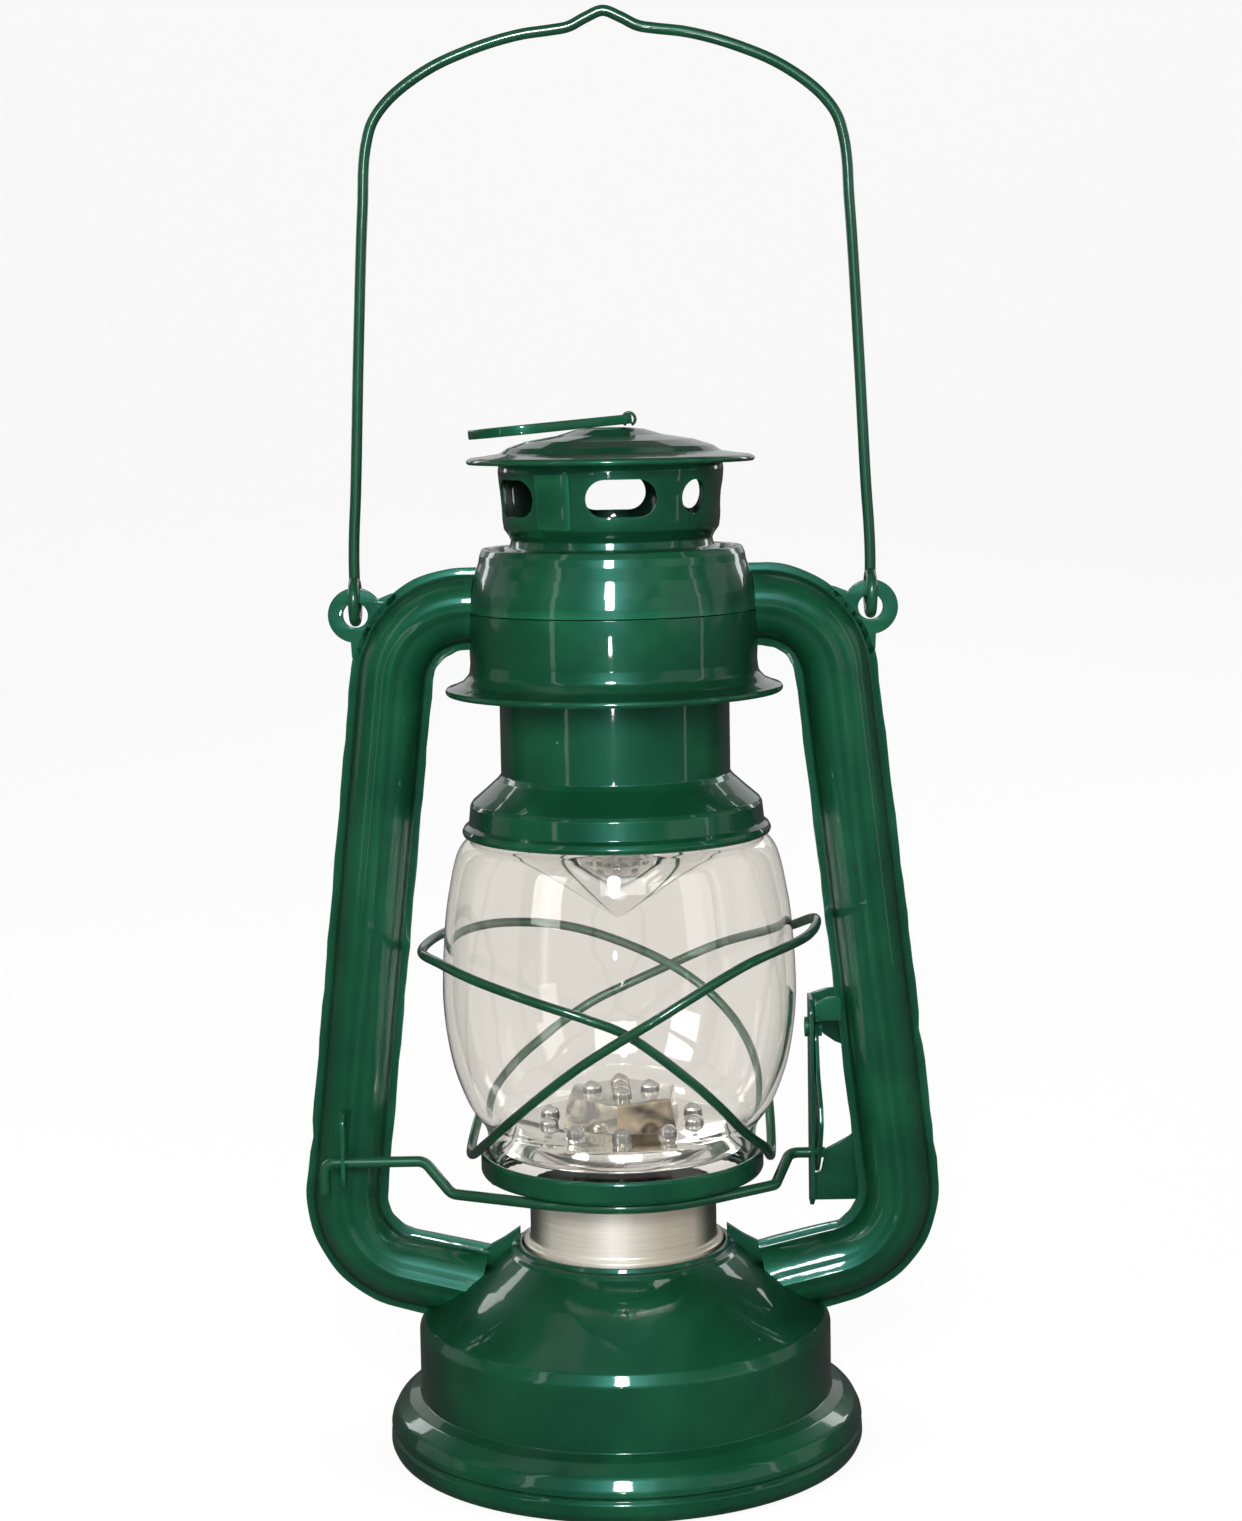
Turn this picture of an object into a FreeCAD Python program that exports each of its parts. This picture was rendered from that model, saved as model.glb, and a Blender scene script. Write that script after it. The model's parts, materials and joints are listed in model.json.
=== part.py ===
import FreeCAD, Part
import Sketcher
import math
import os

# Camping lantern in the classic barn-lantern form, with a battery base.
# Millimetres, +Z up, origin at the centre of the base underside, front is -Y, right is +X.

V = FreeCAD.Vector
X_AXIS, Y_AXIS, Z_AXIS = (1, 0, 0), (0, 1, 0), (0, 0, 1)
doc = FreeCAD.newDocument("camping_lantern")

# ---------------------------------------------------------------- driving dimensions
DIMS = [
    # base
    ("base_rim_rad", 57.5), ("base_wall_rad", 50.05), ("shoulder_z", 31.1), ("neck_rad", 24.8),
    ("neck_top_z", 49.8), ("sheet_thk", 0.8),
    # burner collar, globe plate and reflector
    ("collar_rad", 22.6), ("collar_flange_rad", 24.4), ("collar_bottom_z", 48.5),
    ("collar_top_z", 64.0), ("plate_rad", 34.2), ("plate_bore_rad", 29.8),
    ("plate_bottom_z", 67.3), ("plate_rim_z", 73.0), ("reflector_rad", 26.1),
    ("reflector_skirt_rad", 29.0), ("reflector_top_z", 79.0),
    # globe, chimney, drum, crown and cap
    ("glass_rad", 42.45), ("glass_thk", 1.6), ("chimney_rad", 27.35),
    ("chimney_bead_rad", 36.9), ("chimney_bead_z", 150.7), ("drum_rad", 34.2),
    ("drum_top_z", 218.0), ("drum_skirt_rad", 40.1), ("drum_skirt_z", 184.3),
    ("crown_rad", 26.0), ("crown_bottom_z", 216.6), ("crown_top_z", 239.0),
    ("cap_rad", 34.0), ("cap_brim_z", 238.4), ("cap_top_z", 246.0),
    # side tubes with their bail ears
    ("tube_half_width", 7.8), ("tube_half_depth", 7.5), ("flange_half_width", 9.8),
    ("tube_top_z", 203.8), ("tube_top_corner_x", 51.0), ("tube_low_corner_x", 68.7),
    ("tube_low_corner_z", 47.2), ("elbow_top_rad", 18.0), ("elbow_low_rad", 19.0),
    ("ear_x", 61.0), ("ear_z", 202.7), ("ear_rad", 6.5), ("ear_hole_rad", 2.95),
    # wires and lever
    ("bail_wire_rad", 1.3), ("bail_top_z", 341.6), ("bail_pivot_z", 206.0),
    ("bail_loop_rad", 4.7), ("guard_wire_rad", 1.15), ("lift_wire_rad", 1.3),
    ("lift_wire_z", 70.4), ("lift_wire_left_z", 73.0), ("lever_pivot_z", 101.5),
    ("lever_throw_deg", 35.0), ("lift_travel", 8.0),
    # inner cone, dimmer, cells, door, LEDs and pull ring
    ("cone_apex_z", 129.0), ("cone_rad", 31.2), ("knob_rad", 7.5), ("knob_z", 22.0),
    ("cell_rad", 7.25), ("cell_length", 50.5), ("door_width", 58.0),
    ("door_axis_y", -31.0), ("door_axis_z", 2.6), ("led_rad", 2.3), ("led_ring_rad", 18.4),
    ("pull_bar_x", 4.5), ("pull_bar_z", 247.8), ("pull_tilt_deg", 4.8),
]
sheet = doc.addObject("Spreadsheet::Sheet", "Dims")
for row, (alias, number) in enumerate(DIMS, start=1):
    sheet.set("A%d" % row, alias)
    sheet.set("B%d" % row, repr(float(number)))
    sheet.setAlias("B%d" % row, alias)
doc.recompute()


def size(alias):
    """The present number of a driving dimension."""
    return float(sheet.get(alias))


class Dim(object):
    """A driving dimension plus a fixed offset, which a constraint can be bound to."""

    def __init__(self, alias, offset=0.0):
        self.alias = alias
        self.offset = offset

    def __add__(self, step):
        return Dim(self.alias, self.offset + step)

    def __sub__(self, step):
        return self + (-step)

    def __float__(self):
        return size(self.alias) + self.offset

    @property
    def expression(self):
        sign = "+" if self.offset >= 0 else "-"
        return "Dims.%s %s %.5f" % (self.alias, sign, abs(self.offset))


# ---------------------------------------------------------------- sketch helpers
# Sketch axes: XY_Plane (x, y) facing +Z; XZ_Plane (x, z) facing -Y; YZ_Plane (y, z) facing +X.
# A positive offset moves a sketch the way it faces. Pads grow that way; pockets cut the
# other way unless reversed.
pieces = []


def new_body(label):
    body = doc.addObject("PartDesign::Body", label)
    body.Label = label
    pieces.append(body)
    return body


def bind(target, path, quantity):
    if isinstance(quantity, Dim):
        target.setExpression(path, quantity.expression)


def sketch_on(body, name, role, offset=0.0, turn=0.0):
    """Sketch on an origin plane, offset along its normal, turned about its own vertical."""
    sketch = body.newObject("Sketcher::SketchObject", name)
    plane = next(f for f in body.Origin.OriginFeatures if f.Role == role)
    sketch.AttachmentSupport = [(plane, "")]
    sketch.MapMode = "FlatFace"
    rotation = FreeCAD.Rotation(V(*Y_AXIS), turn)
    sketch.AttachmentOffset = FreeCAD.Placement(V(0, 0, float(offset)), rotation)
    bind(sketch, "AttachmentOffset.Base.z", offset)
    return sketch


def constrain(sketch, kind, quantity, *where):
    index = sketch.addConstraint(Sketcher.Constraint(kind, *where, float(quantity)))
    bind(sketch, "Constraints[%d]" % index, quantity)


def fix_point(sketch, geometry, end, x, y):
    """Dimension a point from the origin, or tie it to the axis it lies on."""
    for kind, axis, quantity in (("DistanceX", -2, x), ("DistanceY", -1, y)):
        if abs(float(quantity)) < 1e-9:
            sketch.addConstraint(Sketcher.Constraint("PointOnObject", geometry, end, axis))
        else:
            constrain(sketch, kind, quantity, geometry, end)


def add_loop(sketch, points):
    """Closed polygon whose every corner is dimensioned from the origin."""
    first = sketch.GeometryCount
    count = len(points)
    corners = [V(float(x), float(y), 0) for x, y in points]
    sketch.addGeometry([Part.LineSegment(corners[i], corners[(i + 1) % count])
                        for i in range(count)], False)
    sketch.addConstraint([
        Sketcher.Constraint("Coincident", first + i, 2, first + (i + 1) % count, 1)
        for i in range(count)])
    for i, (x, y) in enumerate(points):
        fix_point(sketch, first + i, 1, x, y)


def add_circle(sketch, x, y, radius):
    circle = Part.Circle(V(float(x), float(y), 0), V(*Z_AXIS), float(radius))
    geometry = sketch.addGeometry(circle, False)
    constrain(sketch, "Radius", radius, geometry)
    fix_point(sketch, geometry, 3, x, y)


def revolve(body, name, loop, kind="PartDesign::Revolution"):
    """Full turn of an (r, z) outline about the lantern axis."""
    sketch = sketch_on(body, name + "_sketch", "XZ_Plane")
    add_loop(sketch, loop)
    turned = body.newObject(kind, name)
    turned.Profile = sketch
    turned.ReferenceAxis = (sketch, ["V_Axis"])
    turned.Angle = 360.0


def pad(body, name, role, length, loops=(), circles=(), offset=0.0, turn=0.0,
        kind="PartDesign::Pad", reverse=False):
    sketch = sketch_on(body, name + "_sketch", role, offset, turn)
    for loop in loops:
        add_loop(sketch, loop)
    for circle in circles:
        add_circle(sketch, *circle)
    extrusion = body.newObject(kind, name)
    extrusion.Profile = sketch
    extrusion.Length = float(length)
    bind(extrusion, "Length", length)
    extrusion.Reversed = reverse
    return extrusion


def pocket(*args, **options):
    return pad(*args, kind="PartDesign::Pocket", **options)


def rect(x0, x1, y0, y1):
    return [(x0, y0), (x1, y0), (x1, y1), (x0, y1)]


def mirrored(side, points):
    """Points as given for side = 1, mirrored in x for side = -1."""
    return [(side * x, y) for x, y in points]


def sheet_section(outer, thickness):
    """Closed section of a sheet wall: the outer line and its parallel at the thickness.
    The material lies on the right-hand side of the direction of travel."""
    points = [(float(x), float(z)) for x, z in outer]
    steps = [(x1 - x0, z1 - z0) for (x0, z0), (x1, z1) in zip(points, points[1:])]
    units = [(x / math.hypot(x, z), z / math.hypot(x, z)) for x, z in steps]
    inner = []
    for i, (x, z) in enumerate(outer):
        near = units[max(i - 1, 0):i + 1]
        normal_x = sum(unit[1] for unit in near) / len(near)
        normal_z = sum(-unit[0] for unit in near) / len(near)
        square = normal_x * normal_x + normal_z * normal_z
        dx = normal_x / square * thickness
        dz = normal_z / square * thickness
        # a sharp corner is kept from running out into a spike
        excess = max(1.0, math.hypot(dx, dz) / (1.6 * thickness))
        inner.append((x + dx / excess, z + dz / excess))
    return list(outer) + inner[::-1]


# ---------------------------------------------------------------- solid helpers
def add_piece(label, shape):
    piece = doc.addObject("Part::Feature", label)
    piece.Label = label
    piece.Shape = shape
    pieces.append(piece)


def cylinder(radius, length, start, along=Z_AXIS):
    return Part.makeCylinder(radius, length, V(*start), V(*along))


def box(length_x, length_y, length_z, corner):
    return Part.makeBox(length_x, length_y, length_z, V(*corner))


def sweep_round(path, start, direction, radius):
    ring = Part.Wire([Part.Circle(start, direction, radius).toShape()])
    return path.makePipeShell([ring], True, False)


def smooth_wire(points, radius):
    """Round wire along a smooth curve through the points."""
    curve = Part.BSplineCurve()
    curve.interpolate(Points=[V(*p) for p in points], PeriodicFlag=False)
    start = curve.value(curve.FirstParameter)
    direction = curve.tangent(curve.FirstParameter)[0]
    wire = sweep_round(Part.Wire([curve.toShape()]), start, direction, radius)
    # a sweep can come out inside out, depending on the run of the curve
    if wire.Volume < 0:
        wire.reverse()
    return wire


def corner_arc(before, corner, after, radius, limited=False):
    """Start, middle and end of the arc rounding a corner. A limited arc uses at most
    half of each adjoining run."""
    back, ahead = before - corner, after - corner
    half_angle = back.getAngle(ahead) / 2
    setback = radius / math.tan(half_angle)
    if limited:
        setback = min(setback, 0.5 * back.Length, 0.5 * ahead.Length)
        radius = setback * math.tan(half_angle)
    back.normalize()
    ahead.normalize()
    bisector = back + ahead
    bisector.normalize()
    middle = corner + bisector * (radius / math.sin(half_angle) - radius)
    return corner + back * setback, middle, corner + ahead * setback


def bent_wire(stations, radius):
    """Round wire of straight runs joined by arcs. stations: (x, y, z, bend radius)."""
    points = [V(*station[:3]) for station in stations]
    edges = []
    previous = points[0]
    for i in range(1, len(points) - 1):
        start, middle, end = corner_arc(*points[i - 1:i + 2], radius=stations[i][3],
                                        limited=True)
        # neighbouring arcs may meet with no straight run between them
        if (start - previous).Length > 1e-4:
            edges.append(Part.makeLine(previous, start))
        edges.append(Part.Arc(start, middle, end).toShape())
        previous = end
    edges.append(Part.makeLine(previous, points[-1]))
    return sweep_round(Part.Wire(edges), points[0], points[1] - points[0], radius)


# ---------------------------------------------------------------- pressed base
SHEET = size("sheet_thk")
RIM, WALL, SHOULDER = Dim("base_rim_rad"), Dim("base_wall_rad"), Dim("shoulder_z")
NECK, NECK_TOP = Dim("neck_rad"), Dim("neck_top_z")
KNOB_Z = size("knob_z")
BUSHING_RAD = 3.5

# (r, z), outer face from the neck down to the rolled rim
BASE_OUTER = [
    (24.6, 48.4), (NECK - 0.1, NECK_TOP - 0.05), (NECK + 0.6, NECK_TOP + 0.1),
    (NECK + 1.1, NECK_TOP - 0.8), (26.4, 48.7), (27.2, 48.5), (28.2, 47.4), (32.0, 44.75),
    (36.0, 41.9), (40.0, 38.95), (44.0, 35.9), (WALL - 2.6, SHOULDER + 2.0),
    (WALL - 1.4, SHOULDER + 1.1), (WALL - 0.4, SHOULDER + 0.1), (WALL, SHOULDER - 1.6),
    (WALL, 20.0), (WALL, 14.2), (WALL + 0.35, 13.55), (WALL + 3.1, 12.6), (RIM - 1.9, 10.5),
    (RIM - 0.5, 8.0), (RIM - 0.1, 6.4), (RIM - 0.55, 5.9), (RIM - 0.55, 5.3),
    (RIM - 0.05, 4.6), (RIM + 0.1, 3.2), (RIM + 0.05, 1.8), (RIM - 0.6, 0.5),
    (RIM - 1.3, 0.0), (RIM - 3.2, 0.0), (RIM - 3.9, 0.6), (RIM - 4.2, 1.8),
]
# (r, z), inner face from the rim up to the top, which is open at the centre
BASE_INNER = [
    (RIM - 4.1, 3.8), (RIM - 1.6, 5.6), (RIM - 1.2, 6.6), (RIM - 1.35, 7.8),
    (RIM - 2.6, 9.9), (RIM - 4.9, 11.95), (WALL - 0.15, 12.9), (WALL - 0.8, 13.9),
    (WALL - 0.8, SHOULDER - 1.8), (WALL - 1.15, SHOULDER - 0.6),
    (WALL - 2.05, SHOULDER + 0.4), (43.5, 35.3), (39.5, 38.3), (35.5, 41.25),
    (31.5, 44.1), (27.4, 47.0), (26.6, 47.6), (12.0, 47.6), (12.0, 48.4),
]
# (r, z), solid envelope of the base that trims the side tubes just clear of it
TRIM_GAP = 0.06
BASE_ENVELOPE = [
    (0.0, 8.0), (WALL + TRIM_GAP, 8.0), (WALL + TRIM_GAP, SHOULDER - 1.6),
    (WALL - 0.4 + TRIM_GAP, SHOULDER + 0.15), (WALL - 1.35, SHOULDER + 1.2),
    (WALL - 2.55, SHOULDER + 2.08), (44.0, 36.0), (40.0, 39.05), (36.0, 42.0),
    (32.0, 44.85), (28.25, 47.5), (27.25, 48.6), (26.45, 48.8),
    (NECK + 1.15, NECK_TOP - 0.72), (NECK + 0.68, NECK_TOP + 0.18), (0.0, NECK_TOP + 0.18),
]


def base_shell():
    body = new_body("base_shell")
    revolve(body, "shell", BASE_OUTER + BASE_INNER)
    # hole for the dimmer bushing at the rear (+Y)
    pocket(body, "bushing_hole", "XZ_Plane", 20.0,
           circles=[(0.0, Dim("knob_z"), BUSHING_RAD + 0.1)], offset=-60.0, reverse=True)


# ---------------------------------------------------------------- base floor and door
HINGE_Y, HINGE_Z = Dim("door_axis_y"), Dim("door_axis_z")
DOOR_HALF = size("door_width") / 2
OPENING_HALF = DOOR_HALF + 0.5
LUG_WIDTH = 3.0
SCREW_PLACES = [(side * 37.0, y) for side in (-1, 1) for y in (-20.0, 20.0)]


def base_bottom():
    body = new_body("base_bottom")
    opening = rect(-OPENING_HALF, OPENING_HALF, HINGE_Y - 1.9, 30.2)
    pad(body, "floor", "XY_Plane", 1.2, loops=[opening], circles=[(0.0, 0.0, RIM - 4.9)],
        offset=1.9)
    pad(body, "rim", "XY_Plane", 5.0,
        circles=[(0.0, 0.0, RIM - 4.9), (0.0, 0.0, RIM - 5.7)], offset=3.1)
    # hinge lugs, one each side of the door opening
    for name, start in (("left", -OPENING_HALF - LUG_WIDTH), ("right", OPENING_HALF)):
        pad(body, name + "_lug", "YZ_Plane", LUG_WIDTH,
            loops=[rect(HINGE_Y - 2.6, HINGE_Y + 2.6, 1.5, 5.2)],
            circles=[(HINGE_Y, HINGE_Z, 0.95)], offset=start)
    # clear the floor's material out of the pin holes
    for name, start in (("left", -OPENING_HALF + 0.2), ("right", OPENING_HALF + 3.2)):
        pocket(body, name + "_pin_hole", "YZ_Plane", 3.4,
               circles=[(HINGE_Y, HINGE_Z, 0.95)], offset=start)
    pocket(body, "screw_holes", "XY_Plane", 3.0,
           circles=[(x, y, 1.3) for x, y in SCREW_PLACES], offset=1.5, reverse=True)


def battery_door():
    body = new_body("battery_door")
    pin_reach = 2.7
    pad(body, "panel", "XY_Plane", 1.4, loops=[rect(-DOOR_HALF, DOOR_HALF, HINGE_Y, 29.7)],
        offset=HINGE_Z - 1.2)
    pad(body, "barrel", "YZ_Plane", Dim("door_width"), circles=[(HINGE_Y, HINGE_Z, 1.3)],
        offset=-DOOR_HALF)
    pad(body, "pins", "YZ_Plane", Dim("door_width") + 2 * pin_reach,
        circles=[(HINGE_Y, HINGE_Z, 0.9)], offset=-DOOR_HALF - pin_reach)
    # snap tongue near the rear edge
    pad(body, "tongue", "XY_Plane", 2.6, loops=[rect(-5.0, 5.0, 27.2, 28.4)],
        offset=HINGE_Z + 0.1)


def bottom_screws():
    screws = []
    for x, y in SCREW_PLACES:
        head = cylinder(2.4, 1.0, (x, y, 0.8))
        shank = cylinder(1.2, 9.0, (x, y, 1.7))
        screws.append(head.fuse(shank).removeSplitter())
    add_piece("bottom_screws", Part.makeCompound(screws))


# ---------------------------------------------------------------- batteries
BOX_HALF_X, BOX_FRONT_Y, BOX_REAR_Y = 31.2, -28.2, 30.0
BOX_BOTTOM_Z, BOX_HEIGHT = 4.0, 18.2
BOX_WALL, BOX_ROOF = 1.3, 1.5
CELL_RAD, CELL_LENGTH = size("cell_rad"), size("cell_length")
CELL_Y, CELL_Z = 0.9, 12.4
# (x, direction of the positive end along y), alternating along the row
CELL_ROW = [((i - 1.5) * (2 * CELL_RAD + 0.3), 1 if i % 2 == 0 else -1) for i in range(4)]
CONTACT_REACH = CELL_LENGTH / 2 + 0.1


def battery_box():
    body = new_body("battery_box")
    pad(body, "housing", "XY_Plane", BOX_HEIGHT,
        loops=[rect(-BOX_HALF_X, BOX_HALF_X, BOX_FRONT_Y, BOX_REAR_Y)], offset=BOX_BOTTOM_Z)
    bay = rect(-BOX_HALF_X + BOX_WALL, BOX_HALF_X - BOX_WALL,
               BOX_FRONT_Y + BOX_WALL, BOX_REAR_Y - BOX_WALL)
    pocket(body, "bay", "XY_Plane", BOX_HEIGHT - BOX_ROOF, loops=[bay],
           offset=BOX_BOTTOM_Z, reverse=True)
    pocket(body, "wire_hole", "XY_Plane", 4.0, circles=[(0.0, 0.0, 3.0)], offset=19.5,
           reverse=True)
    # ears for the bottom screws, rooted in the side walls
    ears = []
    for x, y in SCREW_PLACES:
        left, right = (31.0, 40.5) if x > 0 else (-40.5, -31.0)
        ears.append(rect(left, right, y - 4.0, y + 4.0))
    pad(body, "screw_ears", "XY_Plane", 5.0, loops=ears,
        circles=[(x, y, 1.25) for x, y in SCREW_PLACES], offset=6.0)


def aa_cells():
    nub_length = 1.0
    cells = []
    for x, way in CELL_ROW:
        along = (0, way, 0)
        can = cylinder(CELL_RAD, CELL_LENGTH - nub_length,
                       (x, CELL_Y - way * CELL_LENGTH / 2, CELL_Z), along)
        nub = cylinder(2.7, nub_length,
                       (x, CELL_Y + way * (CELL_LENGTH / 2 - nub_length), CELL_Z), along)
        cells.append(can.fuse(nub).removeSplitter())
    add_piece("aa_cells", Part.makeCompound(cells))


def contact_tabs():
    width, thickness, height = 11.0, 0.4, 12.0
    tabs = []
    for x, way in CELL_ROW:
        face = CELL_Y + way * CONTACT_REACH
        tabs.append(box(width, thickness, height, (
            x - width / 2, min(face, face + way * thickness), CELL_Z - height / 2)))
    add_piece("contact_tabs", Part.makeCompound(tabs))


def contact_springs():
    """Three flat concentric turns and a crossing bar at each negative end."""
    springs = []
    for x, way in CELL_ROW:
        y = CELL_Y - way * CONTACT_REACH - way * 0.32
        turns = [Part.makeTorus(4.6 - 0.9 * k, 0.3, V(x, y, CELL_Z), V(*Y_AXIS))
                 for k in range(3)]
        bar = box(0.5, 0.5, 2.6, (x - 0.25, y - 0.25, CELL_Z + 2.4))
        springs.append(turns[0].fuse(turns[1]).fuse(turns[2]).fuse(bar))
    add_piece("contact_springs", Part.makeCompound(springs))


# ---------------------------------------------------------------- dimmer, at the rear
def dimmer_potentiometer():
    shape = box(17.0, 8.0, 18.0, (-8.5, 39.5, KNOB_Z - 9.0))
    shape = shape.fuse(cylinder(BUSHING_RAD, 4.0, (0, 47.4, KNOB_Z), Y_AXIS))
    shape = shape.cut(cylinder(2.56, 10.5, (0, 41.2, KNOB_Z), Y_AXIS))
    add_piece("dimmer_potentiometer", shape.removeSplitter())


def dimmer_knob():
    body = new_body("dimmer_knob")
    centre_z = Dim("knob_z")
    pad(body, "grip", "XZ_Plane", 5.2, circles=[(0.0, centre_z, Dim("knob_rad"))],
        offset=-57.1)
    pad(body, "spindle", "XZ_Plane", 10.6, circles=[(0.0, centre_z, 2.5)], offset=-52.0)
    # one notch in the grip's edge, at the top
    pocket(body, "flute", "XZ_Plane", 4.6,
           circles=[(0.0, centre_z + (size("knob_rad") + 0.35), 0.95)], offset=-52.4)


def dimmer_nut():
    bore = cylinder(BUSHING_RAD + 0.06, 3.0, (0, 49.0, KNOB_Z), Y_AXIS)
    add_piece("dimmer_nut", cylinder(5.4, 1.15, (0, 50.4, KNOB_Z), Y_AXIS).cut(bore))


# ---------------------------------------------------------------- collar and lamp
COLLAR_TOP = Dim("collar_top_z")
LED_RAD, LED_RING = size("led_rad"), size("led_ring_rad")
LED_COUNT = 10
LED_HOLE_RAD = 2.45
PEDESTAL_BOTTOM, PEDESTAL_TOP = size("reflector_top_z") + 0.05, 86.4
PEDESTAL_TURN = math.radians(2.0)


def turned(x, y):
    """A point turned with the pedestal."""
    cos, sin = math.cos(PEDESTAL_TURN), math.sin(PEDESTAL_TURN)
    return x * cos - y * sin, x * sin + y * cos


TOP_LEDS = [turned(x, y) for x, y in
            ((0.0, 0.0), (7.0, 0.0), (-7.0, 0.0), (0.0, 7.0), (0.0, -7.0))]


def burner_collar():
    flange, rad = Dim("collar_flange_rad"), Dim("collar_rad")
    bottom, top = Dim("collar_bottom_z"), COLLAR_TOP
    revolve(new_body("burner_collar"), "collar", [
        (14.0, bottom), (flange - 0.3, bottom), (flange, bottom + 0.3),
        (flange, bottom + 2.0), (flange - 0.4, bottom + 2.35), (rad + 0.25, bottom + 2.5),
        (rad, bottom + 2.9), (rad, top - 1.0), (rad - 0.8, top), (9.2, top),
        (9.2, top - 0.8), (rad - 1.1, top - 0.8), (rad - 0.8, top - 1.2),
        (rad - 0.8, bottom + 2.0), (rad - 1.2, bottom + 0.8), (14.0, bottom + 0.8)])


def reflector_stem():
    """Tube with a flange on the collar and another under the LED board."""
    bore, rad, flange = 6.0, 9.1, 12.0
    top = COLLAR_TOP
    revolve(new_body("reflector_stem"), "stem", [
        (bore, top - 3.0), (rad, top - 3.0), (rad, top + 0.05), (flange, top + 0.05),
        (flange, top + 1.4), (rad, top + 1.4), (rad, 73.9), (flange, 73.9),
        (flange, 74.9), (bore, 74.9)])


def reflector():
    body = new_body("reflector")
    skirt, rad, top = Dim("reflector_skirt_rad"), Dim("reflector_rad"), Dim("reflector_top_z")
    revolve(body, "dish", [
        (8.0, top - 0.8), (rad - 1.1, top - 0.8), (rad - 0.6, top - 1.4),
        (rad + 0.2, top - 3.0), (rad + 1.2, top - 4.6), (skirt - 0.9, top - 5.3),
        (skirt - 0.05, top - 5.3), (skirt, top - 4.9), (rad + 2.0, top - 4.0),
        (rad + 1.0, top - 2.4), (rad + 0.3, top - 0.9), (rad - 0.1, top - 0.2),
        (rad - 0.7, top), (8.0, top)])
    hole = pocket(body, "led_hole", "XY_Plane", 3.0,
                  circles=[(0.0, -LED_RING, LED_HOLE_RAD)], offset=77.0, reverse=True)
    pattern = body.newObject("PartDesign::PolarPattern", "led_holes")
    pattern.Originals = [hole]
    pattern.Axis = (hole.Profile[0], ["N_Axis"])
    pattern.Angle = 360.0
    pattern.Occurrences = LED_COUNT
    body.Tip = pattern


def hex_frustum(low_rad, low_z, high_rad, high_z):
    """Six-sided frustum with one corner a little left of the front."""
    rings = []
    for rad, z in ((low_rad, low_z), (high_rad, high_z)):
        angles = [math.radians(-94 + 60 * k) for k in range(6)]
        corners = [V(rad * math.cos(a), rad * math.sin(a), z) for a in angles]
        rings.append(Part.makePolygon(corners + corners[:1]))
    return Part.makeLoft(rings, True, True)


def led_pedestal():
    shape = hex_frustum(15.6, PEDESTAL_BOTTOM, 14.2, PEDESTAL_TOP)
    shape = shape.cut(hex_frustum(14.5, PEDESTAL_BOTTOM - 0.3, 13.1, PEDESTAL_TOP - 0.9))
    for x, y in TOP_LEDS:
        shape = shape.cut(cylinder(LED_HOLE_RAD, 4.0, (x, y, 84.0)))
    add_piece("led_pedestal", shape)


def led_boards():
    lower = cylinder(23.5, 1.2, (0, 0, 75.6)).cut(cylinder(2.5, 3.0, (0, 0, 75.0)))
    upper = hex_frustum(12.4, 83.9, 12.35, 84.7).cut(cylinder(1.0, 3.0, (0, 0, 83.0)))
    add_piece("led_boards", Part.makeCompound([lower, upper]))


def led(x, y, bottom_z, dome_z):
    """Domed LED; the box trims the dome's sphere off below the bottom."""
    stalk = cylinder(LED_RAD, dome_z - bottom_z, (x, y, bottom_z))
    shape = stalk.fuse(Part.makeSphere(LED_RAD, V(x, y, dome_z))).removeSplitter()
    return shape.common(box(6, 6, 12, (x - 3, y - 3, bottom_z)))


def leds():
    shapes = []
    for k in range(LED_COUNT):
        angle = math.radians(-90 + 360 // LED_COUNT * k)
        shapes.append(led(LED_RING * math.cos(angle), LED_RING * math.sin(angle),
                          76.85, 79.6))
    shapes += [led(x, y, 84.75, 87.0) for x, y in TOP_LEDS]
    add_piece("leds", Part.makeCompound(shapes))


def lead_wires():
    """Two leads up the axis to the lower board, one from the dimmer to the battery box."""
    radius = 0.6
    # (x, y, z) of the right-hand lead
    lead = [(1.6, 0, 19.0), (1.6, 0.2, 24), (3.0, 1.0, 36), (2.0, 1.0, 50),
            (1.3, 0.5, 62), (1.2, 0.5, 72), (1.2, 0.5, 75.4)]
    dimmer_lead = [(0, 39.3, KNOB_Z + 4), (0, 36.0, KNOB_Z + 5), (0, 26.0, KNOB_Z + 7),
                   (0, 12.0, 27.0), (0, 2.0, 23.6), (0, 0.3, 20.5)]
    wires = [smooth_wire([(side * x, y, z) for x, y, z in lead], radius) for side in (1, -1)]
    wires.append(smooth_wire(dimmer_lead, radius))
    add_piece("lead_wires", Part.makeCompound(wires))


# ---------------------------------------------------------------- air drum
DRUM, DRUM_TOP = Dim("drum_rad"), Dim("drum_top_z")
SKIRT, SKIRT_Z = Dim("drum_skirt_rad"), Dim("drum_skirt_z")
# (r, z), solid envelope of the drum that trims the side tubes just clear of it
DRUM_ENVELOPE = [
    (0.0, 185.0), (38.0, 185.0), (36.3, SKIRT_Z + 2.2), (DRUM + 0.27, 188.3),
    (DRUM, 191.0), (DRUM + 0.07, 195.8), (DRUM + 0.07, 202.3), (DRUM + 0.17, 203.2),
    (DRUM - 0.02, 205.5), (DRUM - 0.47, 208.5), (32.68, 211.95), (31.73, 214.75),
    (31.4, 216.0), (31.0, 217.9), (0.0, 217.9),
]


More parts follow.
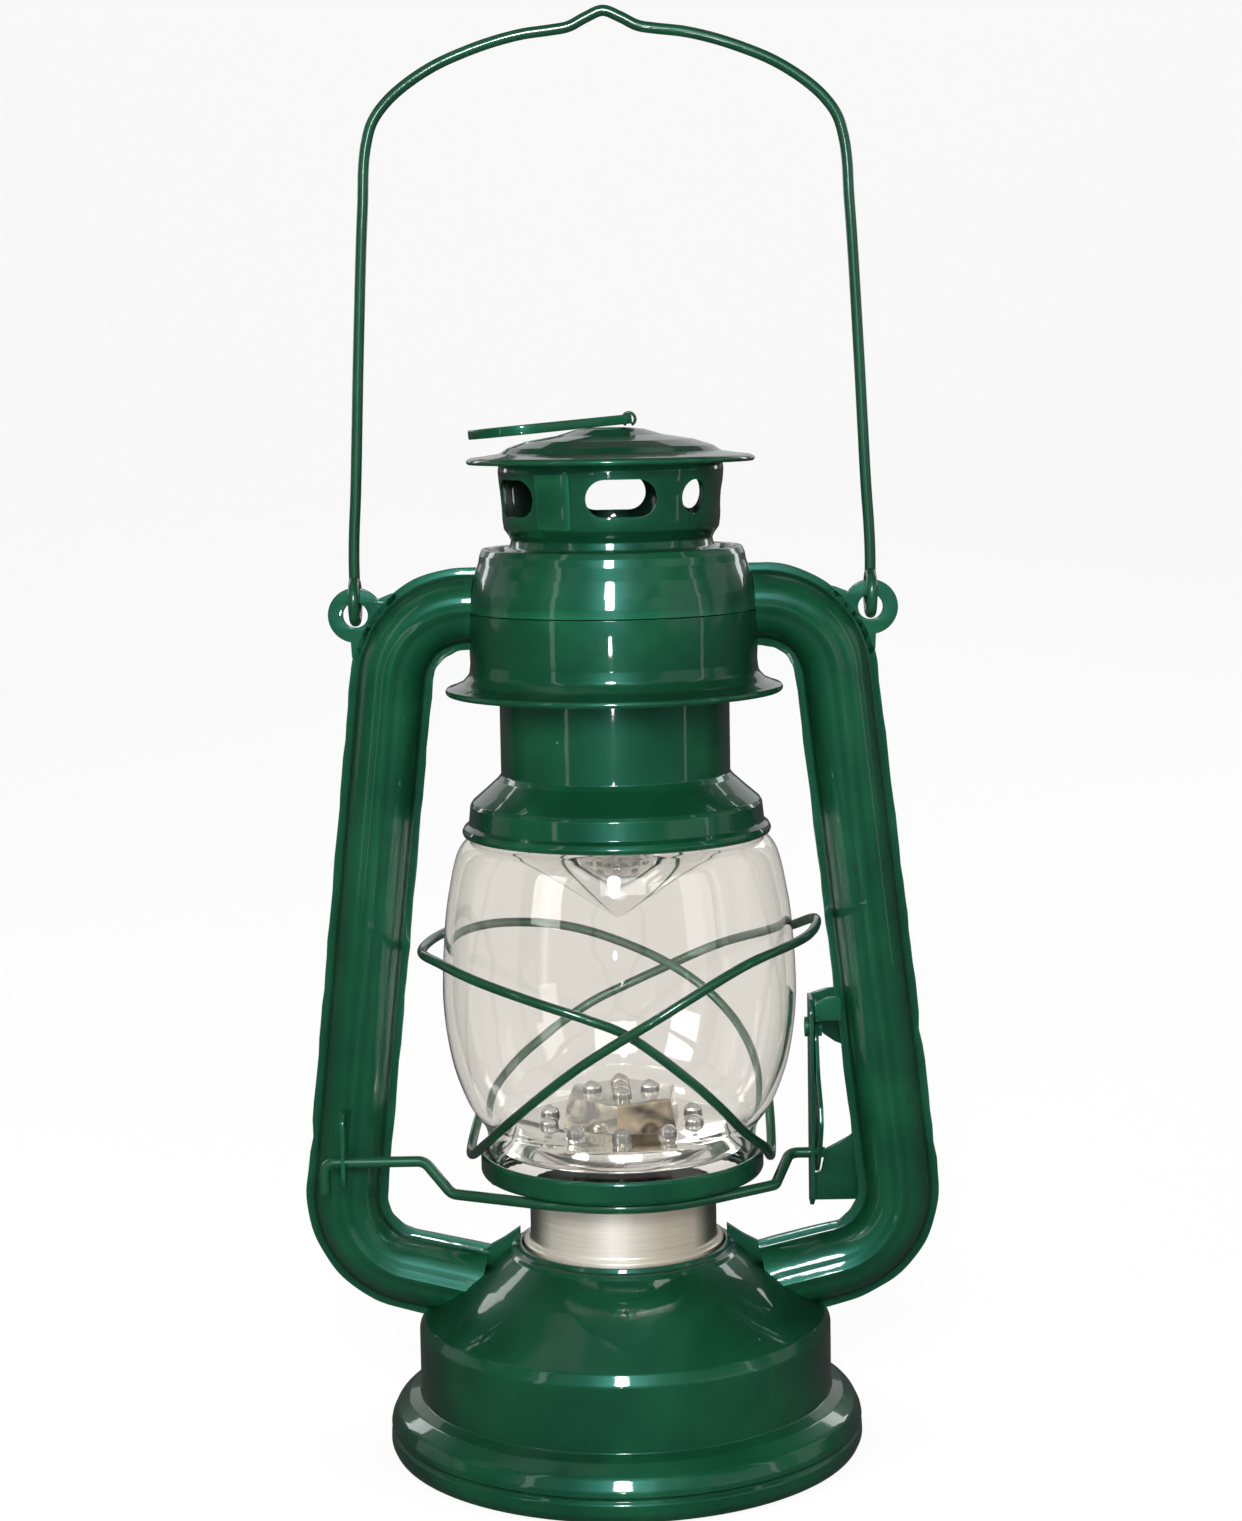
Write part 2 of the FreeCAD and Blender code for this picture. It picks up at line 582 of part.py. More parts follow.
def drum_lower_shell():
    revolve(new_body("drum_lower_shell"), "lower", [
        (DRUM - 0.95, 204.9), (DRUM - 0.95, 202.9), (DRUM - 0.05, 202.3), (DRUM, 195.8),
        (DRUM - 0.1, 191.0), (DRUM + 0.2, 188.3), (DRUM + 1.9, SKIRT_Z + 2.1),
        (SKIRT - 1.4, SKIRT_Z + 0.9), (SKIRT - 0.4, SKIRT_Z + 0.75), (SKIRT, SKIRT_Z + 0.1),
        (SKIRT - 0.3, SKIRT_Z - 0.7), (SKIRT - 1.2, SKIRT_Z - 0.8),
        (SKIRT - 1.6, SKIRT_Z + 0.05), (DRUM + 1.5, SKIRT_Z + 1.35), (DRUM - 0.55, 188.1),
        (DRUM - 0.9, 191.0), (DRUM - 0.8, 195.8), (DRUM - 0.85, 201.2),
        (DRUM - 1.7, 202.0), (DRUM - 1.75, 204.9)])


def drum_upper_shell():
    revolve(new_body("drum_upper_shell"), "upper", [
        (28.2, DRUM_TOP - 0.9), (28.4, DRUM_TOP - 0.2), (30.6, DRUM_TOP),
        (31.1, DRUM_TOP - 0.5), (31.3, 216.0), (31.65, 214.7), (32.6, 211.9),
        (DRUM - 0.55, 208.5), (DRUM - 0.1, 205.5), (DRUM + 0.1, 203.2),
        (DRUM - 0.75, 203.2), (DRUM - 0.85, 205.4), (DRUM - 1.3, 208.3),
        (31.85, 211.6), (30.9, 214.4), (30.5, 215.9), (30.3, DRUM_TOP - 0.9)])


# ---------------------------------------------------------------- side tubes
# side: 1 right, -1 left. half: -1 front, 1 rear.
TUBE_START_X = 30.0
TUBE_TOP_Z = size("tube_top_z")
TOP_CORNER_X = size("tube_top_corner_x")
ELBOW_TOP_RAD = size("elbow_top_rad")
ELBOW_HALF_TURN_DEG = 41.78     # half the bend of the top elbow
SEAM_GAP = 0.05                 # from each half to the seam plane y = 0
EAR_X = size("ear_x")
# (x, z), fin between the lower end of the tube and the collar
FIN = [(25.1, 53.3), (25.1, 50.0), (29.3, 46.4), (46.0, 34.2), (47.0, 38.5),
       (36.5, 46.6), (29.0, 50.6)]


def tube_path(body, label, side):
    """Centre line from the drum out, down through two elbows and in to the base."""
    points = [V(side * x, z, 0) for x, z in (
        (TUBE_START_X, TUBE_TOP_Z), (TOP_CORNER_X, TUBE_TOP_Z),
        (size("tube_low_corner_x"), size("tube_low_corner_z")), (36.0, 39.0))]
    geometry = []
    previous = points[0]
    for i, radius in ((1, ELBOW_TOP_RAD), (2, size("elbow_low_rad"))):
        start, middle, end = corner_arc(*points[i - 1:i + 2], radius=radius)
        geometry.append(Part.LineSegment(previous, start))
        geometry.append(Part.Arc(start, middle, end))
        previous = end
    geometry.append(Part.LineSegment(previous, points[3]))
    path = sketch_on(body, label + "_path", "XZ_Plane")
    path.addGeometry(geometry, False)
    for i in (0, 2, 4):
        line = geometry[i]
        for end, point in ((1, line.StartPoint), (2, line.EndPoint)):
            fix_point(path, i, end, point.x, Dim("tube_top_z") if i == 0 else point.y)
    return path


def tube_section(half):
    """D-shaped channel with seam flanges, as (y, z) points about the tube's top run."""
    half_width, depth = size("tube_half_width"), size("tube_half_depth")
    flange = size("flange_half_width")
    inner_width, inner_depth = half_width - SHEET, depth - SHEET
    flange_back = SEAM_GAP + SHEET
    steps = 14
    # (distance from the seam plane, distance from the centre line)
    points = [(SEAM_GAP, flange), (flange_back, flange)]
    start = math.asin(flange_back / depth)
    for k in range(steps + 1):
        angle = start + (math.pi - 2 * start) * k / steps
        if k == steps // 2:
            # raised rib along the crest
            points += [(depth - 0.06, 1.25), (depth + 0.55, 0.55),
                       (depth + 0.55, -0.55), (depth - 0.06, -1.25)]
        else:
            points.append((depth * math.sin(angle), half_width * math.cos(angle)))
    points += [(flange_back, -flange), (SEAM_GAP, -flange)]
    start = math.asin(SEAM_GAP / inner_depth)
    for k in range(steps + 1):
        angle = math.pi - start - (math.pi - 2 * start) * k / steps
        points.append((inner_depth * math.sin(angle), inner_width * math.cos(angle)))
    return [(half * y, Dim("tube_top_z", across)) for y, across in points]


def ear_outline():
    """Right-hand bail ear as (x, z): a round tab rooted along the top elbow's flange."""
    ear_z, ear_rad = size("ear_z"), size("ear_rad")
    elbow_x = TOP_CORNER_X - ELBOW_TOP_RAD * math.tan(math.radians(ELBOW_HALF_TURN_DEG))
    elbow_z = TUBE_TOP_Z - ELBOW_TOP_RAD
    bearing = math.atan2(ear_z - elbow_z, EAR_X - elbow_x)

    def from_elbow(rad, degrees):
        angle = bearing + math.radians(degrees)
        return elbow_x + rad * math.cos(angle), elbow_z + rad * math.sin(angle)

    outline = [from_elbow(24.6, -19), from_elbow(27.2, -19)]
    for k in range(17):
        angle = bearing + math.radians(-118 + 236 * k / 16.0)
        outline.append((EAR_X + ear_rad * math.cos(angle), ear_z + ear_rad * math.sin(angle)))
    return outline + [from_elbow(27.2, 19), from_elbow(24.6, 19), from_elbow(24.2, 0)]


def tube_half(label, side, half):
    """One pressed half of a side tube, with its ear and fin."""
    body = new_body(label)
    path = tube_path(body, label, side)
    section = sketch_on(body, label + "_section", "YZ_Plane", offset=side * TUBE_START_X)
    add_loop(section, tube_section(half))
    channel = body.newObject("PartDesign::AdditivePipe", label + "_channel")
    channel.Profile = section
    channel.Spine = (path, ["Edge%d" % (i + 1) for i in range(5)])
    doc.recompute()
    offset = SEAM_GAP if half < 0 else -(SEAM_GAP + SHEET)
    pad(body, label + "_ear", "XZ_Plane", SHEET, loops=[mirrored(side, ear_outline())],
        circles=[(side * EAR_X, size("ear_z"), Dim("ear_hole_rad"))], offset=offset)
    pad(body, label + "_fin", "XZ_Plane", SHEET, loops=[mirrored(side, FIN)], offset=offset)
    # trim both ends to the pressings they meet
    for name, envelope in (("_base_trim", BASE_ENVELOPE), ("_drum_trim", DRUM_ENVELOPE)):
        revolve(body, label + name, envelope, kind="PartDesign::Groove")


def side_tubes():
    for side_name, side in (("right", 1), ("left", -1)):
        for half_name, half in (("front", -1), ("rear", 1)):
            tube_half("tube_%s_%s" % (side_name, half_name), side, half)
            doc.recompute()


# ---------------------------------------------------------------- lever and guides
PIVOT_Z = size("lever_pivot_z")
LIFT_Z, LIFT_LEFT_Z = size("lift_wire_z"), size("lift_wire_left_z")
LIFT_RAD = size("lift_wire_rad")
SLOT_HALF = 1.5
PLATE_THK = 1.0
GUIDE_Y = -12.0                 # the lift wire passes the left guide lug here


def lever_bracket():
    body = new_body("lever_bracket")
    web = [(-5.5, 60.0), (-1.0, 57.6), (4.2, 57.6), (4.2, 109.0), (-3.5, 108.8),
           (-5.5, 106.0)]
    window = rect(-SLOT_HALF, SLOT_HALF, LIFT_Z - 1.5, LIFT_Z + 9.6)
    # (x, z) of the feet
    lower_foot = [(46.0, 57.6), (58.6, 57.6), (59.1, 61.0), (59.1, 66.0), (58.1, 76.4),
                  (55.6, 73.6), (52.4, 71.8), (49.6, 70.4), (48.4, 64.8), (46.0, 64.0)]
    upper_foot = [(46.0, 103.6), (48.6, 103.2), (48.9, 99.2), (52.0, 97.0), (56.0, 95.4),
                  (54.9, 103.0), (54.1, 110.6), (50.0, 110.2), (46.0, 109.0)]
    pad(body, "web", "YZ_Plane", PLATE_THK, loops=[web, window],
        circles=[(0.0, Dim("lever_pivot_z"), 1.5)], offset=45.4)
    pad(body, "lower_foot", "XZ_Plane", PLATE_THK, loops=[lower_foot], offset=-4.2)
    pad(body, "upper_foot", "XZ_Plane", PLATE_THK, loops=[upper_foot], offset=-4.2)


def cam_slot():
    """Spiral slot as (y, z): its radius falls by the lift travel over the lever's throw."""
    throw = math.radians(size("lever_throw_deg"))
    steps = 12
    centre = []
    for k in range(steps + 1):
        angle = throw * (-0.05 + 1.09 * k / steps)
        rad = PIVOT_Z - LIFT_Z - size("lift_travel") * angle / throw
        centre.append((-rad * math.sin(angle), PIVOT_Z - rad * math.cos(angle)))
    one_side, other_side = [], []
    for i, (y, z) in enumerate(centre):
        ahead, behind = centre[min(i + 1, steps)], centre[max(i - 1, 0)]
        dy, dz = ahead[0] - behind[0], ahead[1] - behind[1]
        length = math.hypot(dy, dz)
        across_y, across_z = -dz / length * SLOT_HALF, dy / length * SLOT_HALF
        one_side.append((y + across_y, z + across_z))
        other_side.append((y - across_y, z - across_z))

    def tip(end, inside):
        """Point that closes the slot, a little beyond the end of its centre line."""
        dy, dz = end[0] - inside[0], end[1] - inside[1]
        length = math.hypot(dy, dz)
        return end[0] + dy / length * 1.6, end[1] + dz / length * 1.6

    far_tip, near_tip = tip(centre[-1], centre[-2]), tip(centre[0], centre[1])
    return one_side + [far_tip] + other_side[::-1] + [near_tip]


def lift_lever():
    body = new_body("lift_lever")
    # (y, z above the pivot)
    plate = [(-2.6, -2.0), (-7.2, -10.0), (-16.4, -15.6), (-18.2, -20.0), (-13.2, -26.4),
             (-6.4, -32.4), (-1.0, -35.6), (3.4, -34.6), (3.6, -29.0), (2.6, -14.0),
             (3.0, 0.0), (2.2, 2.6), (0.0, 3.4), (-8.0, 4.4), (-8.0, 3.0), (-3.4, 1.6)]
    # (x, z above the pivot)
    tab = [(46.7, 3.1), (52.8, 3.1), (52.8, 8.0), (51.8, 9.0), (49.2, 8.7), (46.7, 7.4)]
    pad(body, "cam_plate", "YZ_Plane", PLATE_THK,
        loops=[[(y, PIVOT_Z + z) for y, z in plate], cam_slot()],
        circles=[(0.0, Dim("lever_pivot_z"), 1.56)], offset=46.7)
    # thumb tab, folded across the front
    pad(body, "thumb_tab", "XZ_Plane", PLATE_THK,
        loops=[[(x, PIVOT_Z + z) for x, z in tab]], offset=7.0)


def lever_rivet():
    # (radius, length, start x) of the shank and its two heads
    parts = [cylinder(rad, length, (x, 0, PIVOT_Z), X_AXIS)
             for rad, length, x in ((1.49, 2.5, 45.3), (2.4, 0.8, 44.5), (2.3, 0.8, 47.78))]
    add_piece("lever_rivet", parts[0].fuse(parts[1]).fuse(parts[2]).removeSplitter())


def wire_guide_lug():
    outline = [(-8.12, 67.0), (-8.12, 85.0), (-12.0, 85.0), (-14.4, 83.4), (-14.4, 69.0),
               (-13.0, 67.0)]
    window = rect(GUIDE_Y - SLOT_HALF, GUIDE_Y + SLOT_HALF,
                  LIFT_LEFT_Z - 1.6, LIFT_LEFT_Z + 9.7)
    pad(new_body("wire_guide_lug"), "lug", "YZ_Plane", PLATE_THK, loops=[outline, window],
        offset=-66.9)


# ---------------------------------------------------------------- globe and carriage
GLASS = Dim("glass_rad")
# (r, z), outside of the globe from the bottom up
GLOBE_OUTLINE = [
    (32.6, 70.35), (32.55, 72.5), (32.3, 76.0), (33.1, 79.5), (34.9, 82.0), (36.6, 84.6),
    (38.7, 89.5), (40.4, 94.5), (41.3, 99.4), (42.0, 104.4), (GLASS - 0.08, 108.8),
    (GLASS, 112.0), (GLASS - 0.2, 119.0), (41.85, 124.0), (41.5, 129.0), (40.9, 133.6),
    (40.2, 137.5), (39.3, 142.0), (38.2, 145.6), (37.0, 147.6), (35.6, 148.9),
    (34.2, 149.8), (33.5, 150.8), (33.4, 152.5), (33.4, 155.5),
]
# Guard hoops from the low end round: (x, side of y: -1 front, 1 rear, 0 on y = 0; z)
HOOP_A = [
    (-35.5, 0, 72.0), (-31.5, 1, 81.0), (-26.0, 1, 86.3), (-18.1, 1, 92.2),
    (-7.6, 1, 99.0), (2.7, 1, 103.6), (12.5, 1, 108.0), (20.8, 1, 112.0),
    (28.5, 1, 115.6), (41.4, 1, 121.5), (47.3, 0, 128.0), (44.0, -1, 127.3),
    (27.8, -1, 124.4), (9.0, -1, 114.6), (-9.0, -1, 103.0), (-23.0, -1, 89.2),
    (-31.0, -1, 79.5),
]
HOOP_B = [
    (36.1, 0, 70.5), (33.0, 1, 84.5), (29.7, 1, 92.0), (25.7, 1, 98.2), (20.7, 1, 103.6),
    (12.5, 1, 109.4), (-2.2, 1, 115.5), (-14.9, 1, 119.2), (-30.3, 1, 121.6),
    (-41.9, 1, 122.2), (-47.3, 0, 121.8), (-41.1, -1, 122.9), (-32.3, -1, 120.9),
    (-18.8, -1, 117.4), (-6.8, -1, 113.6), (1.7, -1, 109.8), (14.7, -1, 98.6),
    (21.8, -1, 90.4), (29.0, -1, 81.3), (33.0, -1, 75.4),
]
GUARD_RAD = size("guard_wire_rad")
HOOP_HALF_DEPTH = 46.6          # reach in y, seen from above
HOOP_HALF_WIDTH = 41.0          # reach in x
HOOP_SHIFT = 6.4                # of the hoop's centre, towards its high side
HOOP_MIN_RAD = 36.1             # from the lantern axis to the wire's centre
RING_RAD = 31.0
RING_Z = size("plate_bottom_z") - LIFT_RAD - 0.05


def globe_plate():
    rad, bore = Dim("plate_rad"), Dim("plate_bore_rad")
    bottom, rim_z = Dim("plate_bottom_z"), Dim("plate_rim_z")
    revolve(new_body("globe_plate"), "plate", [
        (bore, bottom + 0.9), (rad - 1.2, bottom + 0.3), (rad - 0.7, bottom),
        (rad - 0.1, bottom + 0.4), (rad, bottom + 1.2), (rad, rim_z - 0.9),
        (rad - 0.3, rim_z - 0.2), (rad - 0.8, rim_z), (rad - 1.2, rim_z - 0.4),
        (rad - 1.2, 70.2), (bore + 0.3, 70.2), (bore, 69.9)])


def globe():
    revolve(new_body("globe"), "glass",
            sheet_section(GLOBE_OUTLINE[::-1], size("glass_thk")))


def globe_radius(z):
    """Outside radius of the globe at a height within its outline."""
    for (low_rad, low_z), (high_rad, high_z) in zip(GLOBE_OUTLINE, GLOBE_OUTLINE[1:]):
        if z <= high_z:
            low_rad, high_rad = float(low_rad), float(high_rad)
            return low_rad + (high_rad - low_rad) * (z - low_z) / (high_z - low_z)


def guard_hoop(label, stations, high_side, clearance, front_swell):
    """Hoop on an oval seen from above, pushed outwards where it would touch the glass.
    Its butt joint is at the low end."""
    points = []
    for x, y_side, z in stations:
        share = (high_side * x - HOOP_SHIFT) / HOOP_HALF_WIDTH
        depth = HOOP_HALF_DEPTH + (front_swell if y_side < 0 else 0.0)
        y = y_side * depth * math.sqrt(max(0.0, 1 - share * share))
        least = max(globe_radius(z) + GUARD_RAD + clearance, HOOP_MIN_RAD)
        push = max(1.0, least / math.hypot(x, y))
        points.append((x * push, y * push, z))
    x, _, z = points[0]
    add_piece(label, smooth_wire([(x, -0.06, z)] + points[1:] + [(x, 0.06, z)], GUARD_RAD))


def guard_hoops():
    guard_hoop("guard_hoop_a", HOOP_A, high_side=1, clearance=3.1, front_swell=1.6)
    guard_hoop("guard_hoop_b", HOOP_B, high_side=-1, clearance=0.75, front_swell=-1.6)


def lift_wire():
    """Hooked end through the left lug, front arc under the plate, straight end through
    the right bracket."""
    stations = [(-71.0, GUIDE_Y - 0.2, LIFT_LEFT_Z - 7.5, 0),
                (-71.0, GUIDE_Y, LIFT_LEFT_Z, 2.4),
                (-47.2, GUIDE_Y, LIFT_LEFT_Z, 3.5), (-40.6, -15.8, RING_Z, 3.5)]
    # corners of a polygon whose sides touch the ring's circle
    step = 24
    corner_rad = RING_RAD / math.cos(math.radians(step / 2))
    for k in range(1, 5):
        angle = math.radians(216 + step * k)
        stations.append((corner_rad * math.cos(angle), corner_rad * math.sin(angle),
                         RING_Z, RING_RAD))
    stations += [(36.4, -12.5, RING_Z, 2.6), (40.6, 0.0, LIFT_Z, 2.8), (49.0, 0.0, LIFT_Z, 0)]
    add_piece("lift_wire", bent_wire(stations, LIFT_RAD))


def plate_ring_wire():
    """Rear arc under the plate, a little more than half a turn."""
    circle = Part.Circle(V(0, 0, RING_Z), V(*Z_AXIS), RING_RAD)
    edge = Part.ArcOfCircle(circle, math.radians(-2), math.radians(188)).toShape()
    first = edge.FirstParameter
    add_piece("plate_ring_wire", sweep_round(
        Part.Wire([edge]), edge.valueAt(first), edge.tangentAt(first), LIFT_RAD))


# ---------------------------------------------------------------- chimney, crown and cap
CHIMNEY_SHEET = 0.7
VENT_Z = 230.0
# (azimuth in degrees from the front towards +X, shape)
VENTS = [(5.5, "obround"), (47.7, "round"), (90.0, "round"), (132.3, "round"),
         (179.5, "obround"), (-146.0, "round"), (-62.0, "obround")]


def inner_chimney():
    rad, bead, bead_z = Dim("chimney_rad"), Dim("chimney_bead_rad"), Dim("chimney_bead_z")
    # (r, z), outer face from the top down
    outer = [(rad, 215.55), (rad, 164.3), (rad + 0.7, 163.3), (31.2, 160.5), (34.2, 158.0),
             (34.75, 157.4), (35.3, 152.6), (bead - 0.5, 151.7), (bead, bead_z + 0.2),
             (bead - 0.3, bead_z - 0.9), (bead - 1.1, bead_z - 1.0)]
    revolve(new_body("inner_chimney"), "chimney", sheet_section(outer, CHIMNEY_SHEET))


def crown():
    body = new_body("crown")
    rad, bottom = Dim("crown_rad"), Dim("crown_bottom_z")
    # (r, z), outer face from the top down
    outer = [(rad + 0.2, Dim("crown_top_z")), (rad + 0.6, 236.0), (rad + 0.4, 233.5),
             (rad + 0.1, 231.0), (rad - 0.2, 227.4), (rad - 0.3, 224.6), (rad - 0.5, 222.5),
             (rad - 1.5, 221.0), (rad - 2.2, 220.0), (rad - 2.0, 218.2),
             (rad + 0.6, bottom), (rad + 1.3, bottom - 0.2)]
    revolve(body, "vent_ring", sheet_section(outer, CHIMNEY_SHEET))
    obround = []
    for centre_x, start in ((4.0, -90), (-4.0, 90)):
        for k in range(11):
            angle = math.radians(start + 180.0 * k / 10)
            obround.append((centre_x + 4.3 * math.cos(angle), VENT_Z + 4.3 * math.sin(angle)))
    openings = {"obround": {"loops": [obround]}, "round": {"circles": [(0.0, VENT_Z, 3.95)]}}
    for azimuth, shape in VENTS:
        pocket(body, "vent", "XZ_Plane", 40.0, turn=azimuth, reverse=True, **openings[shape])
        doc.recompute()


def cap():
    rad, brim, top = Dim("cap_rad"), Dim("cap_brim_z"), Dim("cap_top_z")
    revolve(new_body("cap"), "hood", [
        (0.0, top), (4.0, top - 0.1), (8.0, top - 0.4), (12.5, top - 1.9),
        (19.75, top - 3.1), (24.2, top - 4.5), (26.0, top - 5.9), (30.0, brim + 1.2),
        (rad - 0.9, brim + 0.85), (rad - 0.1, brim + 0.5), (rad, brim - 0.1),
        (rad - 0.4, brim - 0.7), (rad - 1.2, brim - 0.6), (rad - 1.3, brim + 0.1),
        (29.9, brim + 0.5), (25.6, brim + 1.0), (23.8, 240.8), (19.4, 242.2),
        (12.2, 243.4), (7.8, 244.8), (3.9, 245.2), (0.0, top - 0.7)])


def cone_reflector():
    rad, apex = Dim("cone_rad"), Dim("cone_apex_z")
    revolve(new_body("cone_reflector"), "cone", [
        (0.0, apex), (1.2, apex + 0.35), (rad, apex + 20.2), (rad, 158.6),
        (rad - 0.6, 158.9), (rad - 0.6, apex + 20.6), (0.9, apex + 1.2), (0.0, apex + 0.9)])


# ---------------------------------------------------------------- pull ring on the cap
BAR_X, BAR_Z = size("pull_bar_x"), size("pull_bar_z")


def ring_staple():
    rad, width = 1.85, 3.4
    shape = cylinder(rad, width, (BAR_X, -width / 2, BAR_Z), Y_AXIS)
    shape = shape.fuse(box(2 * rad, width, 1.8, (BAR_X - rad, -width / 2, BAR_Z - 1.8)))
    shape = shape.cut(cylinder(1.02, 5.0, (BAR_X, -2.5, BAR_Z), Y_AXIS))
    add_piece("ring_staple", shape.removeSplitter())


def teardrop(inset, hinge_end):
    """Round end of the ring and its hinge end as (x, y), measured from the hinge bar."""
    rad = 13.4 - inset
    steps = 30
    points = []
    for k in range(steps + 1):
        angle = math.radians(60 + 240.0 * k / steps)
        points.append((-20.5 + (rad - 0.4) * math.cos(angle), rad * math.sin(angle)))
    return [(x - BAR_X, y) for x, y in points + hinge_end]


def pull_ring():
    """Strip on edge bent to a long teardrop, hinged on its bar."""
    body = new_body("pull_ring")
    outer = teardrop(0.0, [(-1.5, -6.6), (3.9, -5.2), (5.1, -4.2), (5.1, 4.2), (3.9, 5.2),
                           (-1.5, 6.6)])
    inner = teardrop(1.1, [(-1.9, -5.4), (2.2, -4.1), (2.2, 4.1), (-1.9, 5.4)])
    pad(body, "strip", "XY_Plane", 2.2, loops=[outer, inner], offset=-1.1)
    # the hinge end is narrowed to a round bar inside the staple
    pocket(body, "bar_relief", "XY_Plane", 6.0, loops=[rect(-3.2, 2.0, -2.4, 2.4)],
           offset=-3.0, reverse=True)
    pad(body, "bar", "XZ_Plane", 7.0, circles=[(0.0, 0.0, 0.95)], offset=-3.5)
    doc.recompute()
    tilt = FreeCAD.Rotation(V(*Y_AXIS), -size("pull_tilt_deg"))
    body.Placement = FreeCAD.Placement(V(BAR_X, 0, BAR_Z), tilt)


# ---------------------------------------------------------------- bail handle
def bail_handle():
    """Arched wire in the plane y = 0 with a loop at each ear."""
    radius, loop_rad, pivot_z = size("bail_wire_rad"), size("bail_loop_rad"), size("bail_pivot_z")
    # (x, z) from the right-hand loop up to just short of the middle
    right = [(EAR_X, pivot_z + loop_rad), (60.98, 216.0), (60.75, 222.0), (60.1, 232.0),
             (58.7, 262.0), (57.2, 290.0), (56.6, 299.0), (56.2, 307.0), (55.5, 312.0),
             (54.0, 317.0), (51.0, 321.2), (46.5, 325.2), (39.5, 329.6), (32.0, 332.8),
             (25.0, 335.1), (18.5, 336.6), (12.0, 337.4), (8.0, 338.1), (4.0, 340.1)]
    line = right + [(0.0, size("bail_top_z"))] + mirrored(-1, right[::-1])
    shape = smooth_wire([(x, 0.0, z) for x, z in line], radius)
    for side in (-1, 1):
        shape = shape.fuse(Part.makeTorus(
            loop_rad, radius, V(side * EAR_X, 0, pivot_z), V(*X_AXIS)))
    add_piece("bail_handle", shape)


# ---------------------------------------------------------------- build, check, export
for build in (
        base_shell, base_bottom, battery_door, battery_box, aa_cells, contact_tabs,
        contact_springs, bottom_screws, dimmer_potentiometer, dimmer_knob, dimmer_nut,
        burner_collar, reflector_stem, reflector, led_pedestal, led_boards, leds,
        lead_wires, drum_lower_shell, drum_upper_shell, side_tubes, lever_bracket,
        lift_lever, lever_rivet, wire_guide_lug, globe_plate, globe, guard_hoops,
        lift_wire, plate_ring_wire, inner_chimney, crown, cap, ring_staple, pull_ring,
        cone_reflector, bail_handle):
    build()
    doc.recompute()

faults = []
for item in doc.Objects:
    state = set(item.State)
    if "Invalid" in state or "Error" in state:
        faults.append("%s %s" % (item.Name, sorted(state)))
for piece in pieces:
    if piece.Shape.isNull() or not piece.Shape.isValid():
        faults.append("shape of " + piece.Label)
    elif not piece.Shape.Solids:
        faults.append("no solid in " + piece.Label)
if faults:
    raise RuntimeError("; ".join(faults))

os.makedirs("parts", exist_ok=True)
for piece in pieces:
    piece.Shape.exportStep("parts/%s.step" % piece.Label)
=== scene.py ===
"""LED lantern in the shape of a hurricane lantern: green enamel sheet metal, clear globe.

It stands on z = 0 with its axis on Z. The front faces -Y and +X is to the right.
The two side tubes run down the left and right, and the dimmer knob is at the back (+Y).
Shapes are given in millimetres; lights, camera and texture distances are in metres.
"""
import bpy
import bmesh
import json
import math
import random
from mathutils import Vector, Matrix


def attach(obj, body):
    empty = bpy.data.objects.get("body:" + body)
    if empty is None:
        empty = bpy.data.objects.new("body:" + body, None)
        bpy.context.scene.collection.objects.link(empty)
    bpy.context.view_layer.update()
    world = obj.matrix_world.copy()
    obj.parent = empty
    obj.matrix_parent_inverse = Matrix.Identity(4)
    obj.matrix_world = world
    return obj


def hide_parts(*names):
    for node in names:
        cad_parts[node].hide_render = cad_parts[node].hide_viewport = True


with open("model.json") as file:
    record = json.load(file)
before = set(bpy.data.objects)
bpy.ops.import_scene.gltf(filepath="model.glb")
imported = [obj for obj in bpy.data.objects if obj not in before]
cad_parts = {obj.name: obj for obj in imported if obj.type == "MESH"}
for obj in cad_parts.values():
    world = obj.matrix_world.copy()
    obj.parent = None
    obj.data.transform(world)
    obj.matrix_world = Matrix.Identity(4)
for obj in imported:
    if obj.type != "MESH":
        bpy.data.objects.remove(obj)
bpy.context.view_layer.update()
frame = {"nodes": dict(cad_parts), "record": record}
random.seed(7)

MM = 0.001
SHEET = 0.6              # thickness of the lathed sheet
BASE_SHEET = 0.7         # thickness of the base shell
GUARD_WIRE_RADIUS = 1.15
WIRE_RADIUS = 1.3        # lift wire and bail

body_of_node = {
    node: body
    for body, members in frame["record"]["behaviour"]["bodies"].items()
    for node in members
}
slot_of_node = {part["node"]: part["material_slot"] for part in frame["record"]["subparts"]}


